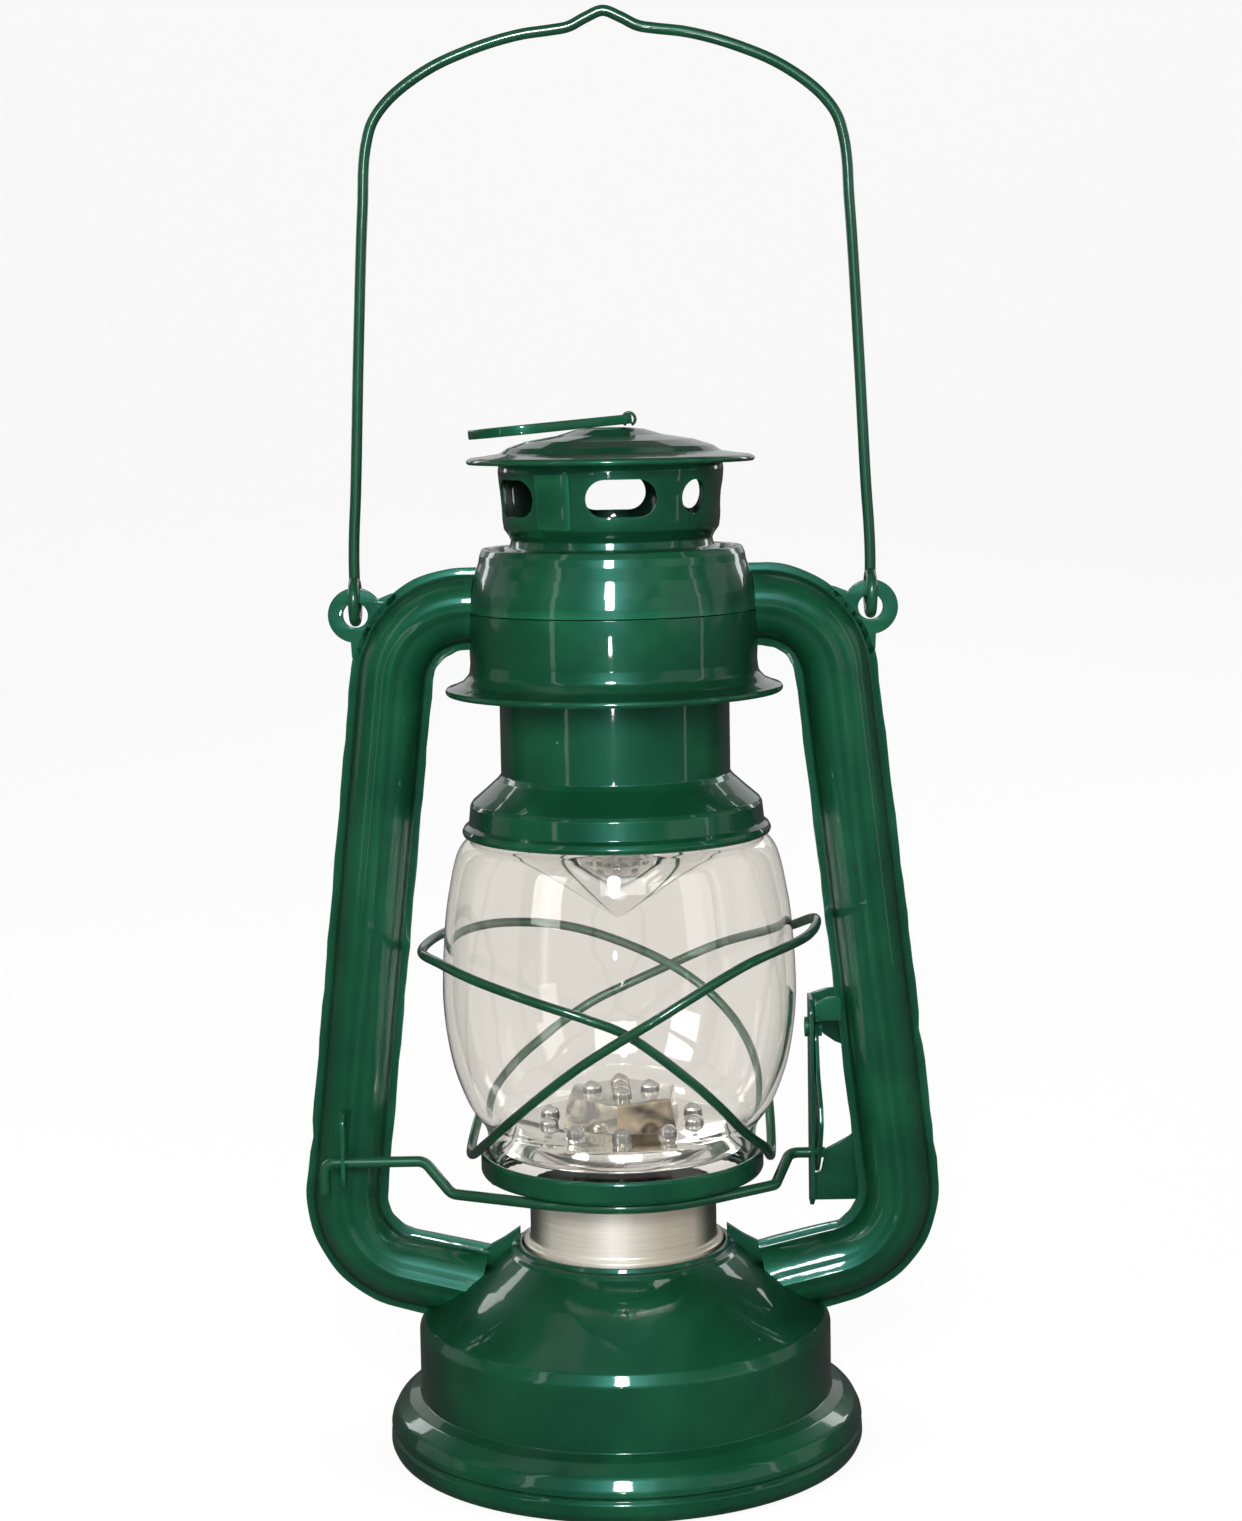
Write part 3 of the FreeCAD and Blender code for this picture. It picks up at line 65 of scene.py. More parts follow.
# ------------------------------------------------------------ shader building
class Nodes:
    """Adds shader nodes to a tree; most methods return the output socket they make."""

    def __init__(self, tree):
        self.tree = tree

    def feed(self, node, inputs):
        """Links each input that is given a socket and sets the others as constants."""
        for key, value in inputs.items():
            if isinstance(value, bpy.types.NodeSocket):
                self.tree.links.new(value, node.inputs[key])
            else:
                node.inputs[key].default_value = value
        return node

    def own(self, kind, inputs):
        """Feeds the node of this type that the tree came with."""
        return self.feed(next(n for n in self.tree.nodes if n.type == kind), inputs)

    def node(self, kind, inputs=None, **settings):
        made = self.tree.nodes.new("ShaderNode" + kind)
        for key, value in settings.items():
            setattr(made, key, value)
        return self.feed(made, inputs or {})

    def coords(self, scale=(1, 1, 1)):
        place = self.node("TexCoord").outputs["Object"]
        return self.node("Mapping", {"Scale": scale, "Vector": place}).outputs["Vector"]

    def noise(self, vector, scale, detail=2.0, rough=0.5, distortion=0.0):
        return self.node("TexNoise", {
            "Scale": scale, "Detail": detail, "Roughness": rough,
            "Distortion": distortion, "Vector": vector}).outputs["Fac"]

    def ramp(self, factor, stops, interpolation="LINEAR"):
        """Colour ramp from stops of (position, (red, green, blue))."""
        made = self.node("ValToRGB", {"Fac": factor})
        band = made.color_ramp
        band.interpolation = interpolation
        while len(band.elements) < len(stops):
            band.elements.new(0.5)
        for element, (position, color) in zip(band.elements, stops):
            element.position = position
            element.color = (*color, 1.0)
        return made.outputs["Color"]

    def remap(self, value, source=(0.0, 1.0), to=(0.0, 1.0)):
        return self.node("MapRange", {
            "From Min": source[0], "From Max": source[1],
            "To Min": to[0], "To Max": to[1], "Value": value}).outputs["Result"]

    def bump(self, height, strength, distance, normal=None):
        inputs = {"Strength": strength, "Distance": distance, "Height": height}
        if normal is not None:
            inputs["Normal"] = normal
        return self.node("Bump", inputs).outputs["Normal"]

    def mix(self, factor, first, second, blend="MIX"):
        """Colour mix; sockets 6 and 7 are its colour inputs, output 2 its colour result."""
        return self.node("Mix", {"Factor": factor, 6: first, 7: second},
                         data_type="RGBA", blend_type=blend).outputs[2]

    def multiply(self, first, second):
        return self.mix(1.0, first, second, "MULTIPLY")

    def math(self, operation, first, second):
        return self.node("Math", {0: first, 1: second}, operation=operation).outputs[0]

    def facing(self, blend):
        return self.node("LayerWeight", {"Blend": blend}).outputs["Facing"]

    def separate(self, vector):
        return self.node("SeparateXYZ", {0: vector}).outputs

    def emission(self, color):
        return self.node("Emission", {"Color": color, "Strength": 1.0}).outputs["Emission"]

    def mix_shaders(self, factor, first, second):
        return self.node("MixShader", {"Fac": factor, 1: first, 2: second}).outputs["Shader"]


def new_material(name):
    material = bpy.data.materials.new(name)
    material.use_nodes = True
    return material, Nodes(material.node_tree)


# ------------------------------------------------------------------ materials
def enamel(name, wire=False):
    """Glossy green paint; on wire it is a little darker, with a finer grain."""
    material, nodes = new_material(name)
    place = nodes.coords()
    tone = nodes.noise(place, scale=34.0, detail=5.0, rough=0.6, distortion=0.4)
    green = nodes.ramp(tone, [
        (0.30, (0.0016, 0.023, 0.0088)),
        (0.52, (0.0032, 0.040, 0.0155)),
        (0.76, (0.0066, 0.069, 0.0280))])
    # Painted shade darkens the paint in the folds, and on sharp edges the green is lighter.
    edge = nodes.ramp(nodes.node("NewGeometry").outputs["Pointiness"], [
        (0.44, (0, 0, 0)), (0.50, (0.30, 0.30, 0.30)), (0.60, (1, 1, 1))])
    painted_fold_shade = nodes.multiply(green, (0.55, 0.62, 0.60, 1))
    edges = nodes.mix(1.0, green, (0.002, 0.026, 0.012, 1), "ADD")
    paint = nodes.mix(edge, painted_fold_shade, edges)
    # A few fine specks of dust are set in the paint.
    cells = nodes.node("TexVoronoi", {"Scale": 210.0, "Vector": place}).outputs["Distance"]
    speck = nodes.ramp(cells, [(0.035, (1, 1, 1)), (0.075, (0, 0, 0))])
    rare = nodes.ramp(nodes.noise(place, scale=55.0, detail=1.0), [
        (0.60, (0, 0, 0)), (0.68, (1, 1, 1))])
    dust = nodes.math("MULTIPLY", speck, rare)
    dusty = nodes.mix(nodes.remap(dust, to=(0.0, 0.55)), paint, (0.10, 0.20, 0.14, 1))
    # Painted light and shade: the paint is painted brighter where it faces the eye and darker
    # at the turn.
    dim = 0.85 if wire else 1.0
    turn = [(0.0, (1.22, 1.16, 1.16)), (0.35, (1.02, 1.00, 1.00)),
            (0.65, (0.74, 0.68, 0.68)), (0.95, (0.46, 0.40, 0.40))]
    painted_facing_light = nodes.ramp(nodes.facing(blend=0.5), [
        (position, tuple(c * dim for c in color)) for position, color in turn])
    grain = nodes.noise(place, scale=700.0 if wire else 420.0)
    waves = nodes.noise(place, scale=62.0)
    normal = nodes.bump(grain, strength=0.20, distance=0.00006)
    normal = nodes.bump(waves, strength=0.30, distance=0.00045, normal=normal)
    normal = nodes.bump(dust, strength=0.5, distance=0.00012, normal=normal)
    patches = nodes.noise(place, scale=90.0, detail=3.0)
    nodes.own("BSDF_PRINCIPLED", {
        "Base Color": nodes.multiply(dusty, painted_facing_light),
        "Roughness": nodes.remap(patches, to=(0.32, 0.42)),
        "Specular IOR Level": 0.6 if wire else 0.5,
        "Specular Tint": (0.55, 1.0, 0.93, 1) if wire else (0.25, 1.0, 0.90, 1),
        "Coat Weight": 1.0 if wire else 0.9,
        "Coat IOR": 1.52,
        "Coat Roughness": nodes.remap(tone, to=(0.030, 0.075)),
        "Coat Normal": normal,
        "Normal": normal})
    return material


def satin(name):
    """Satin metal, streaked in bands around its axis, with painted reflections and painted
    shade.
    """
    material, nodes = new_material(name)
    streaks = nodes.noise(nodes.coords((1, 1, 60)), scale=40.0, detail=6.0, rough=0.7)
    metal = nodes.ramp(streaks, [(0.3, (0.68, 0.65, 0.59)), (0.7, (0.88, 0.85, 0.79))])
    # Painted shade: the metal is painted darker where it turns away from the eye.
    turn = nodes.ramp(nodes.facing(blend=0.5), [
        (0.0, (1.10, 1.10, 1.10)), (0.50, (1.0, 1.0, 1.0)), (0.92, (0.55, 0.55, 0.53))])
    # Painted reflections: light and dark bands run from the left to the right side as the
    # camera sees them.
    in_view = nodes.node(
        "VectorTransform", {0: nodes.node("NewGeometry").outputs["Normal"]},
        vector_type="NORMAL", convert_from="WORLD", convert_to="CAMERA").outputs[0]
    bands = nodes.ramp(nodes.remap(nodes.separate(in_view)["X"], source=(-1.0, 1.0)), [
        (0.04, (0.20, 0.21, 0.19)), (0.12, (0.78, 0.75, 0.70)),
        (0.30, (0.84, 0.82, 0.77)), (0.43, (1.12, 1.12, 1.12)),
        (0.56, (0.86, 0.84, 0.80)), (0.72, (0.70, 0.65, 0.55)),
        (0.87, (0.76, 0.71, 0.63)), (0.95, (0.14, 0.16, 0.13))])
    metal_with_painted_light = nodes.multiply(nodes.multiply(metal, turn), bands)
    # Painted shade: the closed top of the collar, just under z = 64 mm, is painted dark where
    # it lies under the reflector dish.
    height = nodes.separate(nodes.coords())["Z"]
    shade = nodes.remap(height, source=(0.0635, 0.0640))
    nodes.own("BSDF_PRINCIPLED", {
        "Metallic": 0.55,
        "Base Color": nodes.mix(shade, metal_with_painted_light, (0.010, 0.022, 0.016, 1)),
        "Roughness": nodes.remap(streaks, to=(0.30, 0.38)),
        "Normal": nodes.bump(streaks, strength=0.12, distance=0.00003)})
    return material


def chrome(name, tint=(0.86, 0.86, 0.85)):
    """Bright plating with slight blotches and waves."""
    material, nodes = new_material(name)
    place = nodes.coords()
    blotches = nodes.noise(place, scale=46.0, detail=5.0, rough=0.6)
    waves = nodes.noise(place, scale=70.0)
    nodes.own("BSDF_PRINCIPLED", {
        "Metallic": 1.0,
        "Base Color": nodes.ramp(blotches, [(0.3, tuple(0.93 * c for c in tint)), (0.7, tint)]),
        "Roughness": nodes.remap(blotches, to=(0.035, 0.11)),
        "Normal": nodes.bump(waves, strength=0.25, distance=0.0002)})
    return material


def facets(name):
    """Plated block with painted reflections: the side facets are painted darker and warmer than
    the top.
    """
    material, nodes = new_material(name)
    place = nodes.coords()
    normal = nodes.separate(nodes.node("NewGeometry").outputs["True Normal"])
    # Painted reflection: one flat colour for each facet, by how far it faces left or right.
    sides = nodes.ramp(nodes.remap(normal["X"], source=(-1.0, 1.0)), [
        (0.02, (0.045, 0.050, 0.050)), (0.12, (0.60, 0.60, 0.57)),
        (0.33, (0.36, 0.35, 0.33)), (0.46, (0.40, 0.37, 0.33)),
        (0.60, (0.145, 0.120, 0.090)), (0.86, (0.55, 0.52, 0.46))], "CONSTANT")
    blotches = nodes.noise(place, scale=150.0, detail=3.0, rough=0.6, distortion=1.2)
    tone = nodes.ramp(blotches, [
        (0.36, (0.45, 0.45, 0.45)), (0.50, (1.0, 0.98, 0.94)), (0.66, (1.45, 1.32, 1.12))])
    mottled_painted_reflections = nodes.mix(0.75, sides, tone, "MULTIPLY")
    # Facets that face up are painted a lighter grey, a painted reflection.
    top = nodes.remap(normal["Z"], source=(0.6, 0.95))
    nodes.own("BSDF_PRINCIPLED", {
        "Metallic": 1.0,
        "Base Color": nodes.mix(top, mottled_painted_reflections, (0.66, 0.65, 0.62, 1)),
        "Roughness": nodes.remap(blotches, to=(0.10, 0.22)),
        "Normal": nodes.bump(blotches, strength=0.15, distance=0.0002)})
    return material


def glass(name):
    """Clear glass that lets light rays straight through instead of casting a shadow."""
    material, nodes = new_material(name)
    place = nodes.coords()
    tint = nodes.ramp(nodes.noise(place, scale=22.0, detail=3.0), [
        (0.3, (0.955, 0.945, 0.93)), (0.7, (0.975, 0.968, 0.955))])
    waves = nodes.noise(place, scale=30.0)
    clear = nodes.own("BSDF_PRINCIPLED", {
        "Transmission Weight": 1.0,
        "IOR": 1.47,
        "Roughness": 0.0,
        "Base Color": tint,
        "Normal": nodes.bump(waves, strength=0.12, distance=0.0005)})
    shadow = nodes.node("LightPath").outputs["Is Shadow Ray"]
    through = nodes.node("BsdfTransparent", {"Color": (0.93, 0.925, 0.915, 1)})
    nodes.own("OUTPUT_MATERIAL", {"Surface": nodes.mix_shaders(
        shadow, clear.outputs["BSDF"], through.outputs["BSDF"])})
    return material


def lens(name):
    """Clear epoxy with painted shade that darkens it towards its rim."""
    material, nodes = new_material(name)
    grain = nodes.noise(nodes.coords(), scale=300.0)
    tint = nodes.ramp(grain, [(0.3, (0.80, 0.80, 0.78)), (0.7, (0.95, 0.95, 0.94))])
    # Painted shade: a dark outline is painted round the rim of each dome.
    rim = nodes.ramp(nodes.facing(blend=0.32), [
        (0.0, (0.95, 0.95, 0.94)), (0.26, (0.66, 0.66, 0.65)),
        (0.50, (0.20, 0.20, 0.19)), (0.80, (0.42, 0.42, 0.40))])
    nodes.own("BSDF_PRINCIPLED", {
        "Base Color": nodes.multiply(tint, rim),
        "Transmission Weight": 0.90,
        "IOR": 1.5,
        "Roughness": 0.05,
        "Coat Weight": 1.0,
        "Normal": nodes.bump(grain, strength=0.1, distance=0.00005)})
    return material


def plastic(name, dark, light, rough=(0.38, 0.55), grain=900.0):
    """Matt solid between two colours, with a fine surface grain of the given scale."""
    material, nodes = new_material(name)
    place = nodes.coords()
    tone = nodes.noise(place, scale=60.0, detail=4.0, rough=0.6)
    nodes.own("BSDF_PRINCIPLED", {
        "Base Color": nodes.ramp(tone, [(0.3, dark), (0.7, light)]),
        "Roughness": nodes.remap(tone, to=rough),
        "Normal": nodes.bump(nodes.noise(place, scale=grain), strength=0.35,
                             distance=0.00006)})
    return material


def studio_paper(name, color):
    """Paper that looks white to the camera, warm through glass and dark in reflections."""
    material, nodes = new_material(name)
    tone = nodes.noise(nodes.coords(), scale=3.0, detail=4.0)
    paper = nodes.own("BSDF_PRINCIPLED", {
        "Base Color": nodes.ramp(tone, [(0.3, tuple(0.985 * c for c in color)), (0.7, color)]),
        "Roughness": 0.9,
        "Specular IOR Level": 0.1})
    rays = nodes.node("LightPath").outputs
    through = rays["Is Transmission Ray"]
    seen = nodes.math("MAXIMUM", rays["Is Camera Ray"], through)
    bright = nodes.emission(nodes.mix(through, (1, 1, 1, 1), WARM_THROUGH_GLASS))
    white = nodes.mix_shaders(nodes.math("MULTIPLY", seen, 0.90), paper.outputs["BSDF"], bright)
    mirrored = nodes.math("MULTIPLY", rays["Is Glossy Ray"],
                          nodes.math("SUBTRACT", 1.0, through))
    dark = nodes.emission((0.060, 0.062, 0.062, 1))
    nodes.own("OUTPUT_MATERIAL", {"Surface": nodes.mix_shaders(mirrored, white, dark)})
    return material


WARM_THROUGH_GLASS = (0.80, 0.77, 0.72, 1)

# Material slot -> material.
MATERIALS = {
    "green_enamel": enamel("green_enamel_paint"),
    "green_wire": enamel("green_enamel_wire", wire=True),
    "satin_steel": satin("satin_collar"),
    "chrome": chrome("reflector_chrome"),
    "block": facets("pedestal_plating"),
    "clear_glass": glass("clear_globe_glass"),
    "led_lens": lens("led_epoxy"),
    "black_plastic": plastic("black_moulded", dark=(0.010, 0.010, 0.011),
                             light=(0.022, 0.022, 0.024)),
    "circuit_board": plastic("white_board", dark=(0.62, 0.63, 0.61),
                             light=(0.74, 0.75, 0.73), rough=(0.3, 0.45)),
    "cell_jacket": plastic("cell_jacket_film", dark=(0.020, 0.030, 0.060),
                           light=(0.035, 0.045, 0.080), rough=(0.2, 0.3), grain=500.0),
    "contact_metal": chrome("contact_plating", tint=(0.78, 0.75, 0.68)),
    "zinc_steel": satin("zinc_plating"),
    "wire_jacket": plastic("lead_insulation", dark=(0.30, 0.010, 0.010),
                           light=(0.42, 0.020, 0.018), rough=(0.4, 0.5)),
}
GREEN, WIRE_GREEN = MATERIALS["green_enamel"], MATERIALS["green_wire"]
CHROME, BLOCK = MATERIALS["chrome"], MATERIALS["block"]


# --------------------------------------------------------------- mesh helpers
def linked(name, data):
    obj = bpy.data.objects.new(name, data)
    bpy.context.scene.collection.objects.link(obj)
    return obj


def set_shading(mesh, smooth, sharp=None):
    """Shades all faces smooth or flat; sharp is the crease angle in degrees."""
    for polygon in mesh.polygons:
        polygon.use_smooth = smooth
    if sharp is not None:
        mesh.set_sharp_from_angle(angle=math.radians(sharp))


def tidy(mesh, merge, degenerate=None):
    """Welds vertices closer than merge and turns the normals outwards."""
    bm = bmesh.new()
    bm.from_mesh(mesh)
    bmesh.ops.remove_doubles(bm, verts=bm.verts, dist=merge)
    if degenerate is not None:
        bmesh.ops.dissolve_degenerate(bm, edges=bm.edges, dist=degenerate)
    bmesh.ops.recalc_face_normals(bm, faces=bm.faces)
    bm.to_mesh(mesh)
    bm.free()


def evaluated_mesh(obj):
    bpy.context.view_layer.update()
    depsgraph = bpy.context.evaluated_depsgraph_get()
    return bpy.data.meshes.new_from_object(obj.evaluated_get(depsgraph))


def make_object(name, verts, faces, material, smooth=True, sharp=None):
    mesh = bpy.data.meshes.new(name)
    mesh.from_pydata([Vector(v) * MM for v in verts], [], faces)
    mesh.update()
    obj = linked(name, mesh)
    tidy(mesh, merge=1e-7, degenerate=1e-8)
    mesh.materials.append(material)
    set_shading(mesh, smooth, sharp)
    return obj


def stand_in(obj, node):
    """Makes the object the looks of a CAD node."""
    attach(obj, body_of_node[node])
    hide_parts(node)


def add_detail(obj, body):
    """Adds an object that has no CAD node to a body."""
    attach(obj, body)


def arc(x, y, radius, start, sweep, steps):
    """Points on an arc; angles in degrees."""
    angles = [math.radians(start + sweep * k / steps) for k in range(steps + 1)]
    return [(x + radius * math.cos(a), y + radius * math.sin(a)) for a in angles]


def circle(x, y, radius, count):
    return arc(x, y, radius, 0, 360, count)[:-1]


def fillet(points, closed=False, steps=6):
    """Polyline of (x, y[, radius]); corners with a radius become arcs."""
    count = len(points)
    out = []
    for i, point in enumerate(points):
        radius = point[2] if len(point) > 2 else 0.0
        if radius <= 0 or (not closed and i in (0, count - 1)):
            out.append(point[:2])
            continue
        corner = Vector(point[:2])
        back = Vector(points[i - 1][:2]) - corner
        ahead = Vector(points[(i + 1) % count][:2]) - corner
        limit = 0.49 * min(back.length, ahead.length)
        back.normalize()
        ahead.normalize()
        angle = back.angle(ahead)
        if angle > math.pi - 0.01:
            out.append(point[:2])
            continue
        reach = radius / math.tan(angle / 2)
        if reach > limit:
            reach = limit
            radius = reach * math.tan(angle / 2)
        center = corner + (back + ahead).normalized() * (radius / math.sin(angle / 2))
        first = corner + back * reach - center
        last = corner + ahead * reach - center
        start = math.atan2(first.y, first.x)
        sweep = (math.atan2(last.y, last.x) - start + math.pi) % (2 * math.pi) - math.pi
        for k in range(steps + 1):
            a = start + sweep * k / steps
            out.append((center.x + radius * math.cos(a), center.y + radius * math.sin(a)))
    return out


def rounded_box(x0, y0, x1, y1, radius):
    return fillet([(x0, y0, radius), (x1, y0, radius), (x1, y1, radius), (x0, y1, radius)],
                  closed=True)


def offset_line(points, distance):
    """Moves an open line sideways, to the right of its direction."""
    out = []
    for i, (x, z) in enumerate(points):
        steps = []
        if i > 0:
            steps.append(Vector((x - points[i - 1][0], z - points[i - 1][1])))
        if i < len(points) - 1:
            steps.append(Vector((points[i + 1][0] - x, points[i + 1][1] - z)))
        normal_x = normal_z = 0.0
        for step in steps:
            if step.length > 1e-9:
                step.normalize()
            normal_x += step.y / len(steps)
            normal_z += -step.x / len(steps)
        # The miter is limited on tight corners.
        miter = max(normal_x * normal_x + normal_z * normal_z, 0.35)
        out.append((x + normal_x / miter * distance, z + normal_z / miter * distance))
    return out


def dense(points, step=2.5):
    """Splits the long pieces of a line."""
    out = [points[0]]
    for a, b in zip(points[:-1], points[1:]):
        parts = max(1, int(math.hypot(b[0] - a[0], b[1] - a[1]) / step))
        for i in range(1, parts + 1):
            out.append((a[0] + (b[0] - a[0]) * i / parts, a[1] + (b[1] - a[1]) * i / parts))
    return out


def smooth_curve(points, steps=6, closed=False):
    """Centripetal Catmull-Rom curve through the points, in any dimension."""
    out = []
    count = len(points)
    for i in range(count if closed else count - 1):
        near = [i - 1, i, i + 1, i + 2]
        if closed:
            p = [Vector(points[k % count]) for k in near]
        else:
            p = [Vector(points[min(max(k, 0), count - 1)]) for k in near]
        gaps = [max((p[k + 1] - p[k]).length, 1e-6) ** 0.5 for k in range(3)]
        t0, t1 = 0.0, gaps[0]
        t2, t3 = t1 + gaps[1], t1 + gaps[1] + gaps[2]
        for k in range(steps):
            t = t1 + (t2 - t1) * k / steps
            a1 = p[0] * ((t1 - t) / (t1 - t0)) + p[1] * ((t - t0) / (t1 - t0))
            a2 = p[1] * ((t2 - t) / (t2 - t1)) + p[2] * ((t - t1) / (t2 - t1))
            a3 = p[2] * ((t3 - t) / (t3 - t2)) + p[3] * ((t - t2) / (t3 - t2))
            b1 = a1 * ((t2 - t) / (t2 - t0)) + a2 * ((t - t0) / (t2 - t0))
            b2 = a2 * ((t3 - t) / (t3 - t1)) + a3 * ((t - t1) / (t3 - t1))
            out.append(b1 * ((t2 - t) / (t2 - t1)) + b2 * ((t - t1) / (t2 - t1)))
    if not closed:
        out.append(Vector(points[-1]))
    return out


def lathe(name, loop, material, segments=192, sharp=40):
    """Revolves a closed section of (radius, z) about Z; points on the axis collapse."""
    verts, faces = [], []
    count = len(loop)
    for k in range(segments):
        angle = 2 * math.pi * k / segments
        verts += [(r * math.cos(angle), r * math.sin(angle), z) for r, z in loop]
        here, ahead = k * count, (k + 1) % segments * count
        for i in range(count):
            j = (i + 1) % count
            faces.append((here + i, ahead + i, ahead + j, here + j))
    return make_object(name, verts, faces, material, sharp=sharp)


def sheet_lathe(name, line, thickness=SHEET, segments=224, step=2.5):
    """Green sheet revolved about Z from the (radius, z) line of one of its faces."""
    face = dense(line, step)
    other = [(max(r, 0.0), z) for r, z in offset_line(face, thickness)]
    return lathe(name, face + other[::-1], GREEN, segments, sharp=50)


def carry(vector, start, end):
    """Turns a vector by the rotation that takes direction start to direction end."""
    axis = start.cross(end)
    if axis.length <= 1e-9:
        return vector
    return Matrix.Rotation(start.angle(end), 3, axis.normalized()) @ vector


def tube_along(name, path, radius, material, sides=20, closed=False, cap=True):
    """Round wire along a path; cap rounds off the ends of an open one."""
    path = [Vector(p) for p in path]
    count = len(path)
    tangents = []
    for i in range(count):
        a = path[(i - 1) % count] if closed or i > 0 else path[0]
        b = path[(i + 1) % count] if closed or i < count - 1 else path[-1]
        tangents.append((b - a).normalized())
    up = Vector((0, 0, 1))
    if abs(tangents[0].dot(up)) > 0.9:
        up = Vector((0, 1, 0))
    normal = (up - tangents[0] * up.dot(tangents[0])).normalized()
    frames = []
    for i, tangent in enumerate(tangents):
        if i:
            normal = carry(normal, tangents[i - 1], tangent)
            normal = (normal - tangent * normal.dot(tangent)).normalized()
        frames.append((normal.copy(), tangent.cross(normal)))
    # A closed wire spreads the twist left at its seam over its length.
    twist = 0.0
    if closed:
        end = carry(normal, tangents[-1], tangents[0])
        twist = math.atan2(end.dot(frames[0][1]), end.dot(frames[0][0]))
    verts, faces, rings = [], [], []

    def add_ring(center, axes, size, turn=0.0):
        rings.append(len(verts))
        for k in range(sides):
            a = 2 * math.pi * k / sides - turn
            verts.append(tuple(center + axes[0] * (size * math.cos(a))
                               + axes[1] * (size * math.sin(a))))

    def add_cap(end, outward, fractions):
        for q in fractions:
            add_ring(path[end] + outward * (radius * 0.35 * (1 - q)), frames[end],
                     radius * max(0.04, math.sqrt(1 - (1 - q) ** 2)))

    rounded = cap and not closed
    if rounded:
        add_cap(0, -tangents[0], (0.0, 0.35, 0.7))
    for i in range(count):
        add_ring(path[i], frames[i], radius, twist * i / count)
    if rounded:
        add_cap(-1, tangents[-1], (0.7, 0.35, 0.0))
    for i in range(len(rings) if closed else len(rings) - 1):
        a, b = rings[i], rings[(i + 1) % len(rings)]
        for k in range(sides):
            k2 = (k + 1) % sides
            faces.append((a + k, a + k2, b + k2, b + k))
    if not closed:
        faces.append(tuple(rings[0] + k for k in range(sides))[::-1])
        faces.append(tuple(rings[-1] + k for k in range(sides)))
    return make_object(name, verts, faces, material, sharp=60)


def plate(name, outline, holes, axis, low, high, material=GREEN, bevel=0.18):
    """Flat piece normal to axis, between low and high.

    The outline and holes are (y, z) points for axis "x", (x, z) for "y", (x, y) for "z".
    """
    curve = bpy.data.curves.new(name + "_c", "CURVE")
    curve.dimensions = "2D"
    curve.fill_mode = "BOTH"
    curve.extrude = max((high - low) / 2 - bevel, 0.01) * MM
    curve.bevel_depth = bevel * MM
    curve.bevel_resolution = 3
    curve.offset = -bevel * MM
    for loop in [outline] + holes:
        spline = curve.splines.new("POLY")
        spline.points.add(len(loop) - 1)
        for point, (u, v) in zip(spline.points, loop):
            point.co = (u * MM, v * MM, 0, 1)
        spline.use_cyclic_u = True
    flat = linked(name + "_t", curve)
    mesh = evaluated_mesh(flat)
    bpy.data.objects.remove(flat)
    middle = (low + high) / 2 * MM
    for vertex in mesh.vertices:
        x, y, z = vertex.co
        if axis == "x":
            vertex.co = (middle + z, x, y)
        elif axis == "y":
            vertex.co = (x, middle - z, y)
        else:
            vertex.co = (x, y, middle + z)
    tidy(mesh, merge=2e-6)
    mesh.name = name
    mesh.materials.clear()
    mesh.materials.append(material)
    set_shading(mesh, True, sharp=35)
    return linked(name, mesh)


def cut(obj, cutter):
    """Cuts the cutter out of the object and removes it."""
    material = obj.data.materials[0]
    modifier = obj.modifiers.new("b", "BOOLEAN")
    modifier.operation = "DIFFERENCE"
    modifier.object = cutter
    modifier.solver = "EXACT"
    mesh = evaluated_mesh(obj)
    obj.modifiers.clear()
    obj.data = mesh
    mesh.materials.clear()
    mesh.materials.append(material)
    for polygon in mesh.polygons:
        polygon.material_index = 0
    bpy.data.objects.remove(cutter)


def join(name, parts):
    """Joins the parts into one object with the first one's material."""
    bm = bmesh.new()
    for part in parts:
        bm.from_mesh(part.data)
    mesh = bpy.data.meshes.new(name)
    bm.to_mesh(mesh)
    bm.free()
    mesh.materials.append(parts[0].data.materials[0])
    set_shading(mesh, True, sharp=40)
    obj = linked(name, mesh)
    for part in parts:
        bpy.data.objects.remove(part)
    return obj


def move(obj, x, y):
    obj.data.transform(Matrix.Translation(Vector((x, y, 0)) * MM))


# ----------------------------------------------------------------- base shell
# Outer face from the top opening down to the rolled foot: radius, z[, fillet].
BASE_LINE = [
    (12.0, 48.35), (24.3, 48.35, 0.3), (24.75, 49.85, 0.35), (25.55, 49.85, 0.4),
    (26.0, 48.75, 0.35), (27.3, 48.55, 0.6), (28.0, 47.55, 0.5), (36.0, 41.95, 30.0),
    (48.75, 32.2, 1.8), (50.05, 29.6, 2.2), (50.07, 13.9, 0.5), (52.9, 12.75, 2.0),
    (55.9, 10.3, 4.0), (57.2, 7.6, 2.5), (57.45, 6.3, 0.35), (56.85, 5.75, 0.3),
    (56.85, 5.25, 0.3), (57.45, 4.5, 0.9), (57.55, 2.0, 1.8), (56.6, 0.0, 1.2),
    (53.9, 0.0, 1.0), (53.3, 1.8)]
stand_in(sheet_lathe("base_shell_pressing", fillet(BASE_LINE, steps=7), BASE_SHEET, 256),
         "base_shell")

# ----------------------------------------------------------------- side tubes
# Each tube is a front and a rear half shell with flanges that meet near y = 0.
TUBE_TOP_Z = 203.8
SHOULDER_RADIUS = 18.0
